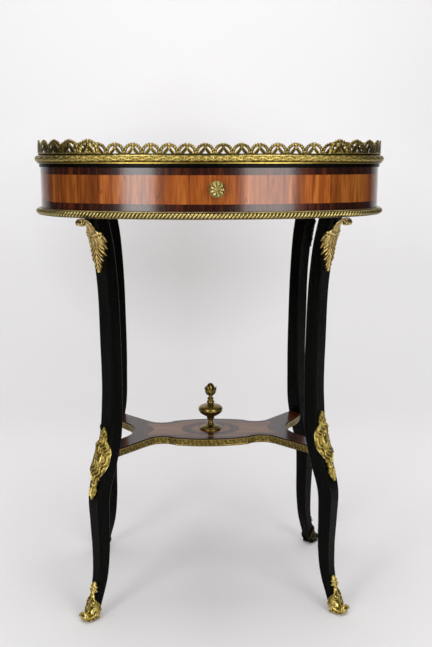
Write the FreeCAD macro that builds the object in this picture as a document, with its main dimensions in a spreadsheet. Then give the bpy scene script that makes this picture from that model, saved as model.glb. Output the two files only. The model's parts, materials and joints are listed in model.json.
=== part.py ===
"""An oval occasional table with a frieze drawer, a brass gallery and a shaped undertier.

Millimetres, +Z up, front towards -Y, origin on the floor at the middle of the table.
"""
import FreeCAD, Part
import math
import os
import re
import Sketcher

Vector = FreeCAD.Vector
Rotation = FreeCAD.Rotation
Placement = FreeCAD.Placement
UP = Vector(0, 0, 1)

SIZES = {
    # The oval of the frieze, an outline of four arcs that all the upper parts are offset from
    "frieze_half_width": 286,
    "frieze_half_depth": 182,
    "end_radius": 145,
    "frieze_height": 66.5,
    "frieze_wall": 15,
    "veneer": 1.2,
    "band_height": 11.3,
    # The top
    "top_edge_height": 5.8,
    "top_edge_overhang": 2,
    "top_rebate": 1,
    "top_core_height": 13.7,
    "top_veneer": 1.5,
    "top_border": 40,
    # The brass mouldings above and below the frieze
    "moulding_reach": 10,
    "moulding_fillet_reach": 5.5,
    "moulding_fillet": 1.8,
    "lower_moulding_height": 10.4,
    # The pierced gallery
    "gallery_height": 22.5,
    "gallery_wall": 2,
    "gallery_inset": 2.5,
    "gallery_opening": 360,
    # The base board under the frieze
    "base_board": 12,
    "base_board_gap": 0.6,
    # The drawer
    "drawer_end_reach": 40,
    "drawer_side_gap": 0.6,
    "drawer_gap": 0.4,
    "drawer_front_wall": 20,
    "drawer_box_inset": 15,
    "drawer_back_inset": 30,
    "drawer_side": 8,
    "drawer_bottom": 5,
    "drawer_bottom_rise": 3,
    "drawer_back_drop": 6,
    "running_gap": 0.3,
    "runner_height": 3.4,
    "kicker_height": 6,
    "rail_width": 12,
    "guide_height": 19,
    "guide_width": 9.5,
    "guide_length": 200,
    "stop_width": 22,
    "stop_depth": 9,
    "stop_height": 14,
    "stop_spacing": 230,
    "glue_block_width": 26,
    "glue_block_depth": 34,
    "glue_block_height": 18,
    # The drawer knob and its screw
    "knob_radius": 13,
    "knob_reach": 19.5,
    "knob_rise": 1,
    "knob_socket": 9,
    "knob_screw_radius": 2,
    "knob_screw_head_radius": 4.5,
    "knob_screw_head": 2.5,
    "screw_play": 0.2,
    # The legs
    "leg_height": 669,
    "leg_sweep": 61,
    "leg_width": 27,
    "leg_anchor_reach": 25,
    "leg_bolt_setback": 11.7165,
    "leg_bolt_radius": 3,
    "leg_bolt_depth": 32,
    "leg_nut_radius": 5.6,
    "leg_nut_height": 5,
    "leg_bolt_end": 1.5,
    "bolt_clearance": 1,
    # The brass mounts on the legs
    "mount_wall": 2.4,
    "chute_height": 88,
    "chute_scroll_radius": 6,
    "chute_scroll_width": 17,
    "chute_scroll_reach": 24,
    "knee_mount_level": 266,
    "knee_mount_lift_right": 22,
    "knee_mount_height": 118,
    "knee_mount_width": 34,
    "cabochon_radius": 9.5,
    "cabochon_height": 28,
    "cabochon_rise": 5,
    "sabot_height": 62,
    "toe_scroll_radius": 7.2,
    "toe_scroll_width": 19,
    "toe_scroll_reach": 5,
    # The undertier
    "shelf_level": 269.8,
    "shelf_board": 13,
    "shelf_veneer": 1.2,
    "shelf_lobe_half_depth": 61,
    "shelf_cusp_x": 63,
    "shelf_cusp_y": 51,
    "shelf_arm_x": 110,
    "shelf_arm_y": 51.5,
    "shelf_tongue": 4,
    "shelf_notch_turn_x": 152,
    "shelf_notch_turn_y": 44,
    "shelf_banding": 2,
    "shelf_banding_height": 11,
    "shelf_banding_drop": 1.6,
    "shelf_veneer_inset": 0.1,
    "shelf_border": 9,
    "shelf_field_x": 112,
    "field_end_radius": 34,
    "medallion_half_width": 52,
    "medallion_half_depth": 40,
    "medallion_arc_centre": 26,
    "core_half_width": 36,
    "core_half_depth": 26,
    "core_arc_centre": 18,
    "tenon_length": 24,
    "tenon_width": 12,
    "tenon_height": 5,
    "tenon_play": 0.1,
    # The finial
    "finial_foot_radius": 19,
    "finial_foot_height": 20,
    "finial_vase_radius": 21.7,
    "finial_vase_height": 36,
    "finial_bud_radius": 10.8,
    "finial_bud_height": 28,
    "finial_rod_radius": 2,
    "finial_rod_reach": 34,
    "finial_nut_radius": 5,
    "finial_nut_height": 4,
    "finial_rod_drop": 7,
}

# Turns, in degrees
HALF_TURN = 180
QUARTER_TURN = 90
LEG_PLANE_TURN = 45

GALLERY_BAYS = 33
ROLL_SIDES = 12
STONE_SIDES = 14
STONE_SHARES = ((1.0, 0.0), (0.9, 0.5), (0.62, 0.85), (0.25, 1.0))
BELLY_SHARES = ((0.0, 0.0), (1.0, 0.3), (1.0, 0.7), (0.0, 1.0))
TURNED_SIDES = 20
TOUCHING = 1e-6
TONGUE_SHARE = 0.3
FIELD_END_SHARE = 0.72

doc = FreeCAD.newDocument("OccasionalTable")
sheet = doc.addObject("Spreadsheet::Sheet", "Sizes")
layout = doc.addObject("App::VarSet", "Layout")
layout_names = []
nodes = {}


def write_sheet():
    """Writes each driving size into its own cell, under its name."""
    for row, (name, length) in enumerate(SIZES.items(), start=1):
        sheet.set(f"A{row}", name.replace("_", " "))
        sheet.set(f"B{row}", str(length))
        sheet.setAlias(f"B{row}", name)
    doc.recompute()


def full(expression):
    """Returns an expression with each named size written with the object that keeps it."""

    def place(match):
        word = match.group(0)
        if word in SIZES:
            return "Sizes." + word
        if word in layout_names:
            return "Layout." + word
        return word

    return re.sub(r"[a-z][a-z_0-9]*", place, str(expression))


def value(expression):
    """Returns the number that an expression of named sizes comes to."""
    return float(layout.evalExpression(full(expression)))


def derive(name, expression):
    """Adds a named length that follows from the driving sizes."""
    layout.addProperty("App::PropertyFloat", name)
    layout.setExpression(name, full(expression))
    layout_names.append(name)
    doc.recompute([layout])


def bind(thing, name, expression):
    """Binds one property of an object to an expression of named sizes."""
    thing.setExpression(name, full(expression))


def publish(piece, label):
    """Names a finished piece and lists it to be written out."""
    piece.Label = label
    nodes[label] = piece
    return piece


def add(kind, name):
    """Adds an object of one kind to the document."""
    return doc.addObject(kind, name)


def add_body(name):
    """Adds an empty body."""
    return add("PartDesign::Body", name)


def origin_feature(body, role):
    """Returns one of the body's own planes or axes."""
    return [feature for feature in body.Origin.OriginFeatures if feature.Role == role][0]


def add_sketch(body, name, role, level="0"):
    """Adds a sketch on one of the body's planes, lifted off it by a level."""
    sketch = body.newObject("Sketcher::SketchObject", name)
    sketch.AttachmentSupport = [(origin_feature(body, role), "")]
    sketch.MapMode = "FlatFace"
    if level != "0":
        bind(sketch, "AttachmentOffset.Base.z", level)
    return sketch


def bend_centre(start, end, bend):
    """Returns the centre of the arc between two corners, as a pair of expressions."""
    if isinstance(bend, tuple):
        return bend[:2]
    slack = 0.5 / math.tan(math.radians(bend) / 2)
    (x0, y0), (x1, y1) = start[:2], end[:2]
    across = f"(({x0}) + ({x1})) / 2 - (({y1}) - ({y0})) * {slack:.9f}"
    along = f"(({y0}) + ({y1})) / 2 + (({x1}) - ({x0})) * {slack:.9f}"
    return across, along


def bend_is_left(bend):
    """Tells whether an arc turns left on its way to the next corner."""
    return bend[2] > 0 if isinstance(bend, tuple) else bend > 0


def add_arc(sketch, start, end, centre, left):
    """Adds one arc and returns which of its ends is the first corner and which the second."""
    first, last = (start, end) if left else (end, start)
    angles = [math.atan2(point.y - centre.y, point.x - centre.x) for point in (first, last)]
    if angles[1] <= angles[0]:
        angles[1] += 2 * math.pi
    circle = Part.Circle(centre, UP, centre.distanceToPoint(start))
    sketch.addGeometry(Part.ArcOfCircle(circle, angles[0], angles[1]))
    return (1, 2) if left else (2, 1)


def fix_point(sketch, edge, end, x, y, along=("DistanceX", "DistanceY")):
    """Fixes one point of a sketch at a place given as two expressions."""
    for direction, expression in (("DistanceX", x), ("DistanceY", y)):
        if direction in along:
            number = sketch.addConstraint(
                Sketcher.Constraint(direction, -1, 1, edge, end, value(expression))
            )
            bind(sketch, f"Constraints[{number}]", expression)


def draw_outline(sketch, corners):
    """Draws one closed outline.

    A corner is (x, y) or (x, y, bend), all expressions. The bend is that of the arc to
    the next corner: its turn in degrees, left positive, or (centre x, centre y, side).
    """
    base = sketch.GeometryCount
    points = [Vector(value(corner[0]), value(corner[1]), 0) for corner in corners]
    ends = []
    centres = []
    for index, corner in enumerate(corners):
        start, end = points[index], points[(index + 1) % len(corners)]
        if len(corner) == 2 or corner[2] is None:
            sketch.addGeometry(Part.LineSegment(start, end))
            ends.append((1, 2))
            centres.append(None)
            continue
        centre = bend_centre(corner, corners[(index + 1) % len(corners)], corner[2])
        place = Vector(value(centre[0]), value(centre[1]), 0)
        ends.append(add_arc(sketch, start, end, place, bend_is_left(corner[2])))
        upright = abs(end.y - start.y) > abs(end.x - start.x)
        centres.append((centre, "DistanceX" if upright else "DistanceY"))
    for index in range(len(corners)):
        following = (index + 1) % len(corners)
        sketch.addConstraint(
            Sketcher.Constraint(
                "Coincident", base + index, ends[index][1], base + following, ends[following][0]
            )
        )
    for index, corner in enumerate(corners):
        fix_point(sketch, base + index, ends[index][0], corner[0], corner[1])
        if centres[index]:
            (x, y), along = centres[index]
            fix_point(sketch, base + index, 3, x, y, (along,))


def oval_corners(half_width, half_depth, arc_centre):
    """Returns the four tangent corners of an oval of two end arcs and two side arcs."""
    end_radius = f"(({half_width}) - {arc_centre})"
    rest = f"(({half_depth}) - {end_radius})"
    side_centre = f"(({arc_centre}^2 - {rest}^2) / (2 * {rest}))"
    reach = f"sqrt({arc_centre}^2 + {side_centre}^2)"
    x = f"{arc_centre} + {end_radius} * {arc_centre} / {reach}"
    y = f"{end_radius} * {side_centre} / {reach}"
    return [
        (x, f"-({y})", (arc_centre, "0", 1)),
        (x, y, ("0", f"-{side_centre}", 1)),
        (f"-({x})", y, (f"-{arc_centre}", "0", 1)),
        (f"-({x})", f"-({y})", ("0", side_centre, 1)),
    ]


def frieze_oval(offset):
    """Returns the corners of the frieze's oval, offset outwards."""
    return oval_corners(
        f"frieze_half_width + {offset}", f"frieze_half_depth + {offset}", "end_arc_centre"
    )


def pad(body, sketch, length, name="Pad"):
    """Pads a sketch upwards, or along its plane's normal."""
    feature = body.newObject("PartDesign::Pad", name)
    feature.Profile = sketch
    bind(feature, "Length", length)
    return feature


def pad_outlines(name, outlines, level, height):
    """Returns a body that is one flat outline, with any holes, padded up from a level."""
    body = add_body(name)
    sketch = add_sketch(body, name + "Outline", "XY_Plane", level)
    for outline in outlines:
        draw_outline(sketch, outline)
    pad(body, sketch, height)
    return body


def turn_profile(name, corners, angle):
    """Returns a body turned through an angle about its own Z axis from (radius, level) corners."""
    body = add_body(name)
    sketch = add_sketch(body, name + "Profile", "XZ_Plane")
    draw_outline(sketch, corners)
    feature = body.newObject("PartDesign::Revolution", name + "Turn")
    feature.Profile = sketch
    feature.ReferenceAxis = (origin_feature(body, "Z_Axis"), [""])
    feature.Midplane = True
    bind(feature, "Angle", angle)
    return body


def turn_solid(name, corners):
    """Returns a turned solid, cut in flats all round, from (radius, level) corners."""
    profile = [(value(radius), value(level)) for radius, level in corners]
    turns = [2 * math.pi * side / TURNED_SIDES for side in range(TURNED_SIDES + 1)]
    faces = []
    for (near, low), (far, high) in zip(profile, profile[1:] + profile[:1]):
        for turn, following in zip(turns, turns[1:]):
            corner = [
                Vector(near * math.cos(turn), near * math.sin(turn), low),
                Vector(near * math.cos(following), near * math.sin(following), low),
                Vector(far * math.cos(following), far * math.sin(following), high),
                Vector(far * math.cos(turn), far * math.sin(turn), high),
            ]
            kept = [point for spot, point in enumerate(corner)
                    if point.distanceToPoint(corner[spot - 1]) > TOUCHING]
            if len(kept) > 2:
                faces.append(face_of(kept))
    feature = add("Part::Feature", name)
    feature.Shape = Part.makeSolid(Part.makeShell(faces)).removeSplitter()
    return feature


def place(thing, x="0", y="0", z="0", turn=0, axis=UP):
    """Places an object at a point given by expressions, turned about an axis."""
    thing.Placement = Placement(Vector(value(x), value(y), value(z)), Rotation(axis, turn))
    for letter, expression in (("x", x), ("y", y), ("z", z)):
        if expression != "0":
            bind(thing, f"Placement.Base.{letter}", expression)
    return thing


def add_box(name, low, high):
    """Adds a box between two corners given as expressions."""
    box = add("Part::Box", name)
    for side, start, end in zip(("Length", "Width", "Height"), low, high):
        bind(box, side, f"({end}) - ({start})")
    return place(box, *low)


def add_cylinder(name, radius, height, x="0", y="0", z="0"):
    """Adds an upright cylinder."""
    cylinder = add("Part::Cylinder", name)
    bind(cylinder, "Radius", radius)
    bind(cylinder, "Height", height)
    return place(cylinder, x, y, z)


def combine(kind, name, base, tool):
    """Adds a Part::Cut, Part::Common or Part::Fuse of two objects."""
    result = add(kind, name)
    result.Base = base
    result.Tool = tool
    return result


def group(name, pieces):
    """Adds a compound of separate solids."""
    compound = add("Part::Compound", name)
    compound.Links = pieces
    return compound


def mirror(source, name, normal):
    """Adds the mirror image of an object in a plane through the origin."""
    image = add("Part::Mirroring", name)
    image.Source = source
    image.Base = Vector(0, 0, 0)
    image.Normal = normal
    return image


def both_sides(name, piece):
    """Groups a piece with its mirror image on the other side of the table."""
    return group(name, [piece, mirror(piece, name + "Left", Vector(1, 0, 0))])


def camel(label):
    """Returns a node's label as one word for the object's inner name."""
    return "".join(word.capitalize() for word in label.split("_"))


def derive_layout():
    """Works out the levels and the arcs that several pieces share."""
    derive("end_arc_centre", "frieze_half_width - end_radius")
    derive("arc_rest", "frieze_half_depth - end_radius")
    derive("side_arc_centre", "(end_arc_centre^2 - arc_rest^2) / (2 * arc_rest)")
    derive("arc_distance", "sqrt(end_arc_centre^2 + side_arc_centre^2)")
    derive("side_radius", "end_radius + arc_distance")
    derive("drawer_half_width", "end_arc_centre + drawer_end_reach")
    derive("drawer_box_half_width", "drawer_half_width - drawer_box_inset")
    derive("drawer_box_back", "end_radius - drawer_back_inset")
    derive("bolt_limit", "end_radius - veneer - frieze_wall - leg_nut_radius - bolt_clearance")
    derive("bolt_x", "drawer_half_width + drawer_side_gap + leg_nut_radius + bolt_clearance")
    derive("bolt_y", "sqrt(bolt_limit^2 - (bolt_x - end_arc_centre)^2)")
    derive("leg_anchor_x", "end_arc_centre + leg_anchor_reach")
    derive("leg_anchor_y", "bolt_y - leg_bolt_setback")
    derive("frieze_level", "leg_height + base_board")
    derive("top_level", "frieze_level + frieze_height")
    derive("top_core_level", "top_level + top_edge_height")
    derive("top_veneer_level", "top_core_level + top_core_height")
    derive("top_surface", "top_veneer_level + top_veneer")
    derive("upper_moulding_height", "top_core_height + top_veneer")
    derive("drawer_level", "frieze_level + drawer_gap")
    derive("drawer_front_height", "frieze_height - 2 * drawer_gap")
    derive("drawer_box_level", "frieze_level + runner_height + running_gap")
    derive("drawer_box_top", "top_level - kicker_height - running_gap")
    derive("drawer_box_height", "drawer_box_top - drawer_box_level")
    derive("front_inner_radius", "side_radius - veneer - drawer_front_wall")
    derive("shelf_veneer_level", "shelf_level + shelf_board")
    derive("shelf_surface", "shelf_veneer_level + shelf_veneer")


def add_moulding(label, profile, level):
    """Makes a moulding that runs round the oval, in four lengths that meet end to end."""
    end_angle = "2 * atan(side_arc_centre / end_arc_centre)"
    side_angle = "2 * atan(end_arc_centre / side_arc_centre)"
    spans = {
        "Right": ("end_radius", end_angle, "end_arc_centre", "0", 0),
        "Left": ("end_radius", end_angle, "-end_arc_centre", "0", HALF_TURN),
        "Front": ("side_radius", side_angle, "0", "side_arc_centre", -QUARTER_TURN),
        "Back": ("side_radius", side_angle, "0", "-side_arc_centre", QUARTER_TURN),
    }
    lengths = []
    for side, (radius, angle, x, y, turn) in spans.items():
        corners = [(f"{radius} + {reach}", height) for reach, height in profile]
        body = turn_profile(camel(label) + side, corners, angle)
        lengths.append(place(body, x, y, level, turn))
    publish(group(camel(label) + "Lengths", lengths), label)


def belly(low, high):
    """Returns the swelling part of a moulding's section between two levels."""
    swell = "(moulding_reach - moulding_fillet_reach)"
    rise = f"(({high}) - ({low}))"
    return [(f"moulding_fillet_reach + {swell} * {out}", f"{low} + {rise} * {up}")
            for out, up in BELLY_SHARES]


def upper_moulding_profile():
    """Returns the section of the moulding round the top: a swelling between two fillets."""
    height = "upper_moulding_height"
    return [
        ("-top_rebate", "0"),
        ("moulding_fillet_reach", "0"),
        *belly("moulding_fillet", f"{height} - moulding_fillet"),
        ("moulding_fillet_reach", height),
        ("-top_rebate", height),
    ]


def lower_moulding_profile():
    """Returns the section of the rope moulding under the frieze: a bead on a flat."""
    height = "lower_moulding_height"
    return [
        ("-top_rebate", "0"),
        *belly("0", height),
        ("-top_rebate", height),
    ]


def add_top():
    """Makes the top board with its ebonised edge, its veneers and its brass moulding."""
    body = add_body("TopBoard")
    edge = add_sketch(body, "TopEdgeOutline", "XY_Plane", "top_level")
    draw_outline(edge, frieze_oval("top_edge_overhang"))
    pad(body, edge, "top_edge_height", "EdgePad")
    core = add_sketch(body, "TopCoreOutline", "XY_Plane", "top_core_level")
    draw_outline(core, frieze_oval("-top_rebate"))
    pad(body, core, "top_core_height", "CorePad")
    publish(body, "top_board")
    border = [frieze_oval("-top_rebate"), frieze_oval("-top_rebate - top_border")]
    publish(
        pad_outlines("TopBorderVeneer", border, "top_veneer_level", "top_veneer"), "top_border_veneer"
    )
    publish(
        pad_outlines("TopFieldVeneer", border[1:], "top_veneer_level", "top_veneer"),
        "top_field_veneer",
    )
    add_moulding("top_moulding", upper_moulding_profile(), "top_core_level")


def add_base():
    """Makes the board that closes the frieze below, with its rope moulding."""
    publish(
        pad_outlines("BaseBoard", [frieze_oval("-top_rebate")], "leg_height", "base_board"),
        "base_board",
    )
    level = "frieze_level - base_board_gap - lower_moulding_height"
    add_moulding("base_moulding", lower_moulding_profile(), level)


def split_round_drawer(name, ring):
    """Cuts an oval ring into its left, right and back stretches, leaving the drawer's gap."""
    edge = "drawer_half_width + drawer_side_gap"
    far = "2 * frieze_half_width"
    low, high = "leg_height", "top_surface"
    spans = {
        "right": ((edge, f"-({far})", low), (far, far, high)),
        "left": ((f"-({far})", f"-({far})", low), (f"-({edge})", far, high)),
        "back": ((f"-({edge})", "0", low), (edge, far, high)),
    }
    pieces = {}
    for side, (start, end) in spans.items():
        box = add_box(f"{name}{side.capitalize()}Span", start, end)
        pieces[side] = combine("Part::Common", f"{name}{side.capitalize()}", ring, box)
    return pieces


def frieze_ring(name, outer, inner, level, height):
    """Returns a body that is an oval ring between two offsets of the frieze."""
    return pad_outlines(name, [frieze_oval(outer), frieze_oval(inner)], level, height)


def add_frieze():
    """Makes the frieze's carcase in three stretches, and the veneers on its face."""
    carcase = frieze_ring(
        "FriezeCarcase", "-veneer", "-veneer - frieze_wall", "frieze_level", "frieze_height"
    )
    for side, piece in split_round_drawer("Frieze", carcase).items():
        publish(piece, f"frieze_{side}")
    field = frieze_ring(
        "FieldVeneer", "0", "-veneer", "frieze_level + band_height", "frieze_height - 2 * band_height"
    )
    stretches = split_round_drawer("Field", field)
    publish(group("FriezeField", list(stretches.values())), "frieze_field_veneers")
    bands = []
    for name, level in (("LowerBand", "frieze_level"), ("UpperBand", "top_level - band_height")):
        ring = frieze_ring(name + "Veneer", "0", "-veneer", level, "band_height")
        bands.extend(split_round_drawer(name, ring).values())
    publish(group("FriezeBands", bands), "frieze_band_veneers")


def add_drawer_rails():
    """Makes what the drawer slides on and between, inside the frieze, and its stops."""
    outer = "drawer_box_half_width"
    half_length = "guide_length / 2"
    inner = f"{outer} - rail_width"
    runner = add_box(
        "Runner",
        (inner, f"-({half_length})", "frieze_level"),
        (outer, half_length, "frieze_level + runner_height"),
    )
    publish(both_sides("DrawerRunners", runner), "drawer_runners")
    kicker = add_box(
        "Kicker",
        (inner, f"-({half_length})", "top_level - kicker_height"),
        (outer, half_length, "top_level"),
    )
    publish(both_sides("DrawerKickers", kicker), "drawer_kickers")
    guide_in = f"{outer} + running_gap"
    guide = add_box(
        "Guide",
        (guide_in, f"-({half_length})", "frieze_level"),
        (f"{guide_in} + guide_width", half_length, "frieze_level + guide_height"),
    )
    publish(both_sides("DrawerGuides", guide), "drawer_guides")
    stop_in = "drawer_box_back + running_gap"
    stop = add_box(
        "Stop",
        ("stop_spacing / 2 - stop_width / 2", stop_in, "frieze_level"),
        ("stop_spacing / 2 + stop_width / 2", f"{stop_in} + stop_depth", "frieze_level + stop_height"),
    )
    publish(both_sides("DrawerStops", stop), "drawer_stops")


def add_glue_blocks():
    """Makes the blocks glued into the corner between the frieze's ends and the top."""
    inside = pad_outlines(
        "FriezeInside",
        [frieze_oval("-veneer - frieze_wall")],
        "top_level - glue_block_height",
        "glue_block_height",
    )
    blocks = []
    reach = "frieze_half_width - veneer - frieze_wall"
    for side in (-1, 1):
        y = f"{side} * glue_block_depth"
        box = add_box(
            f"GlueBlockSpan{side + 1}",
            (f"{reach} - glue_block_width", f"{y} - glue_block_depth / 2", "frieze_level"),
            ("frieze_half_width", f"{y} + glue_block_depth / 2", "top_surface"),
        )
        blocks.append(combine("Part::Common", f"GlueBlock{side + 1}", inside, box))
    right = group("GlueBlocksRight", blocks)
    publish(both_sides("GlueBlocks", right), "glue_blocks")


# Where a leg's sections lie: shares of its height, of its sweep and of its width
LEG_STATION_SHARES = (
    (0.0, 1.02, 0.70),
    (0.042, 0.83, 0.68),
    (0.09, 0.66, 0.73),
    (0.165, 0.58, 0.84),
    (0.245, 0.60, 0.93),
    (0.318, 0.59, 1.03),
    (0.385, 0.37, 1.11),
    (0.450, 0.16, 1.06),
    (0.550, 0.065, 0.98),
    (0.700, 0.075, 0.98),
    (0.868, 0.17, 0.98),
    (0.93, 0.27, 1.02),
    (1.0, 0.48, 1.10),
)
LEG_CHAMFER_SHARE = 0.16
BOW_SHARE = 0.125


def leg_section(reach, half, chamfer):
    """Returns a square section with its corners taken off."""
    near, far = f"{reach} - ({half})", f"{reach} + ({half})"
    low, high = f"-({half})", f"({half})"
    return [
        (f"{near} + {chamfer}", low),
        (f"{far} - {chamfer}", low),
        (far, f"{low} + {chamfer}"),
        (far, f"{high} - {chamfer}"),
        (f"{far} - {chamfer}", high),
        (f"{near} + {chamfer}", high),
        (near, f"{high} - {chamfer}"),
        (near, f"{low} + {chamfer}"),
    ]


def leg_sections():
    """Returns the stations with one more midway between each two, on a smooth curve."""
    rows = LEG_STATION_SHARES
    finer = []
    for number in range(len(rows) - 1):
        before = rows[max(number - 1, 0)]
        start, end = rows[number], rows[number + 1]
        after = rows[min(number + 2, len(rows) - 1)]
        middle = [(start[0] + end[0]) / 2]
        for column in (1, 2):
            bow = (start[column] + end[column]) / 2 - (before[column] + after[column]) / 2
            middle.append((start[column] + end[column]) / 2 + bow * BOW_SHARE)
        finer.extend([start, tuple(middle)])
    return finer + [rows[-1]]


def loft_leg(name, thickening):
    """Returns a body lofted through the leg's sections, each made thicker all round."""
    body = add_body(name)
    sketches = []
    for number, (level, reach, width) in enumerate(leg_sections()):
        sketch = add_sketch(body, f"{name}Section{number}", "XY_Plane", f"leg_height * {level}")
        half = f"(leg_width * {width} / 2 + {thickening})"
        chamfer = f"leg_width * {width * LEG_CHAMFER_SHARE:.5f}"
        draw_outline(sketch, leg_section(f"leg_sweep * {reach}", half, chamfer))
        sketches.append(sketch)
    loft = body.newObject("PartDesign::AdditiveLoft", name + "Loft")
    loft.Profile = sketches[0]
    loft.Sections = sketches[1:]
    loft.Ruled = True
    return stand_leg(body)


def stand_leg(thing, level="0"):
    """Stands a piece drawn along a leg's own plane at the front right corner."""
    return place(thing, "leg_anchor_x", "-leg_anchor_y", level, -LEG_PLANE_TURN)


def leg_station(level):
    """Returns the reach of a leg's middle and its width at a level, between its sections."""
    share = min(max(level / value("leg_height"), 0), 1)
    rows = list(zip(leg_sections(), leg_sections()[1:]))
    low, high = [pair for pair in rows if pair[0][0] <= share][-1]
    mix = (share - low[0]) / (high[0] - low[0])
    reach = low[1] + (high[1] - low[1]) * mix
    width = low[2] + (high[2] - low[2]) * mix
    return reach * value("leg_sweep"), width * value("leg_width")


def leg_face(level, side=1):
    """Returns where the leg's outer face lies at a level, or with side -1 its inner face."""
    reach, width = leg_station(level)
    return reach + side * width / 2


def on_leg(shape):
    """Moves a shape from the leg's own frame to the front right leg."""
    moved = shape.copy()
    moved.Placement = Placement(
        Vector(value("leg_anchor_x"), -value("leg_anchor_y"), 0), Rotation(UP, -LEG_PLANE_TURN)
    ).multiply(shape.Placement)
    return moved


def face_of(points):
    """Returns the flat face inside a closed run of points."""
    return Part.Face(Part.makePolygon(points + points[:1]))


def side_slab(outline):
    """Returns a slab across the leg from (reach, level) points in the leg's own plane."""
    width = 4 * value("leg_width")
    face = face_of([Vector(reach, -width / 2, level) for reach, level in outline])
    return face.extrude(Vector(0, width, 0))


def front_slab(outline):
    """Returns a slab along the leg's own plane from (across, level) points."""
    reach = 4 * (value("leg_sweep") + value("leg_width"))
    face = face_of([Vector(-reach / 2, across, level) for across, level in outline])
    return face.extrude(Vector(reach, 0, 0))


def cross_roll(radius, width, reach, level):
    """Returns a short roll that lies across the leg, twelve-sided like a chased scroll."""
    rim = [(reach + radius * math.cos(turn), level + radius * math.sin(turn))
           for turn in (2 * math.pi * (spot + 0.5) / ROLL_SIDES for spot in range(ROLL_SIDES))]
    face = face_of([Vector(x, -width / 2, z) for x, z in rim])
    return face.extrude(Vector(0, width, 0))


CHUTE_HALF_SHARE = 0.56
CHUTE_NECK_SHARE = 0.8
CHUTE_TIP_SHARES = (0.5, 0.6)
CHUTE_ROOT_SHARE = 4
STONE_RISE_SHARE = 0.06
# Edges of the mounts as shares: how deep the brass wraps the leg, and how far up
CHUTE_WRAP_SHARES = ((0.72, 1.0), (0.66, 0.9), (0.74, 0.76), (0.5, 0.66), (0.62, 0.52),
                     (0.36, 0.4), (0.42, 0.24), (0.2, 0.12), (0.16, 0.0))
CHUTE_FRONT_SHARES = ((0.62, 0.0), (0.8, 0.14), (0.9, 0.4), (1.0, 1.0))
KNEE_OUTLINE_SHARES = ((0.0, -0.5), (0.16, -0.42), (0.14, -0.34), (0.3, -0.24), (0.4, -0.17),
                       (0.5, -0.02), (0.5, 0.14), (0.42, 0.25), (0.24, 0.32), (0.2, 0.42),
                       (0.0, 0.5))
KNEE_WRAP_SHARE = 0.36
SABOT_WRAP_SHARES = ((1.3, 0.0), (1.3, 0.5), (0.95, 0.6), (0.56, 0.6), (0.34, 0.74), (0.3, 1.0))


def wrap_points(shares, bottom, height):
    """Returns the edge of a mount seen from the side: (reach, level) points, top to bottom."""
    width = value("leg_width")
    points = []
    for depth, rise in shares:
        level = bottom + rise * height
        points.append((leg_face(level) - depth * width, level))
    return points


def wrap_slab(shares, bottom, height):
    """Returns the slab outside a mount's edge as seen from the side."""
    points = wrap_points(shares, bottom, height)
    beyond = 3 * value("leg_width") + value("leg_sweep")
    first, last = points[0], points[-1]
    return side_slab(points + [(beyond, last[1]), (beyond, first[1])])


def mirrored_outline(shares, width, bottom, height):
    """Returns a symmetrical outline from its right half's shares of a width and a height."""
    half = [(across * width, bottom + rise * height) for across, rise in shares]
    return half + [(-across, level) for across, level in reversed(half) if across > 0]


def mount_feature(name, shape):
    """Adds a mount's shape as a feature at the front right leg."""
    feature = add("Part::Feature", name)
    feature.Shape = on_leg(shape)
    return feature


def in_leg_frame(feature):
    """Returns a leg body's shape in the leg's own frame."""
    shape = feature.Shape.copy()
    shape.Placement = feature.Placement.inverse().multiply(shape.Placement)
    return shape


def chute_shape(leg, skin):
    """Returns the leaf mount at the head of a leg, with its outward scroll."""
    top = value("leg_height")
    height = value("chute_height")
    bottom = top - height
    wrap = wrap_slab(CHUTE_WRAP_SHARES, bottom, height)
    width = value("leg_width") + 2 * value("mount_wall")
    front = front_slab(mirrored_outline(CHUTE_FRONT_SHARES, width * CHUTE_HALF_SHARE, bottom, height))
    leaf = skin.common(wrap).common(front)
    radius = value("chute_scroll_radius")
    level = top - radius - value("running_gap")
    reach = leg_face(level) + value("chute_scroll_reach") - radius
    roll = cross_roll(radius, value("chute_scroll_width"), reach, level)
    neck_half = value("chute_scroll_width") / 2 * CHUTE_NECK_SHARE
    out, down = CHUTE_TIP_SHARES
    root = level - CHUTE_ROOT_SHARE * radius
    neck = face_of([
        Vector(leg_face(level), -neck_half, level + radius),
        Vector(reach, -neck_half, level + radius),
        Vector(reach + radius * out, -neck_half, level - radius * down),
        Vector(leg_face(root), -neck_half, root),
    ]).extrude(Vector(0, 2 * neck_half, 0))
    return leaf.fuse([roll, neck]).cut(leg).removeSplitter()


def knee_shape(leg, skin, middle):
    """Returns the cartouche on a knee: a shaped plate with a raised oval stone."""
    height = value("knee_mount_height")
    width = value("knee_mount_width")
    front = front_slab(mirrored_outline(KNEE_OUTLINE_SHARES, width, middle, height))
    wrap = wrap_slab(((KNEE_WRAP_SHARE, 0.5), (KNEE_WRAP_SHARE, 0.0), (KNEE_WRAP_SHARE, -0.5)),
                     middle, height)
    plate = skin.common(front).common(wrap)
    radius = value("cabochon_radius")
    level = middle + STONE_RISE_SHARE * height
    slope = (leg_face(level + radius) - leg_face(level - radius)) / (2 * radius)
    stone = domed_stone(radius, value("cabochon_height"), value("cabochon_rise") + value("mount_wall"))
    stone.rotate(Vector(0, 0, 0), Vector(0, 1, 0), math.degrees(math.atan(slope)))
    stone.translate(Vector(leg_face(level), 0, level))
    return plate.fuse(stone).cut(leg).removeSplitter()


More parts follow.
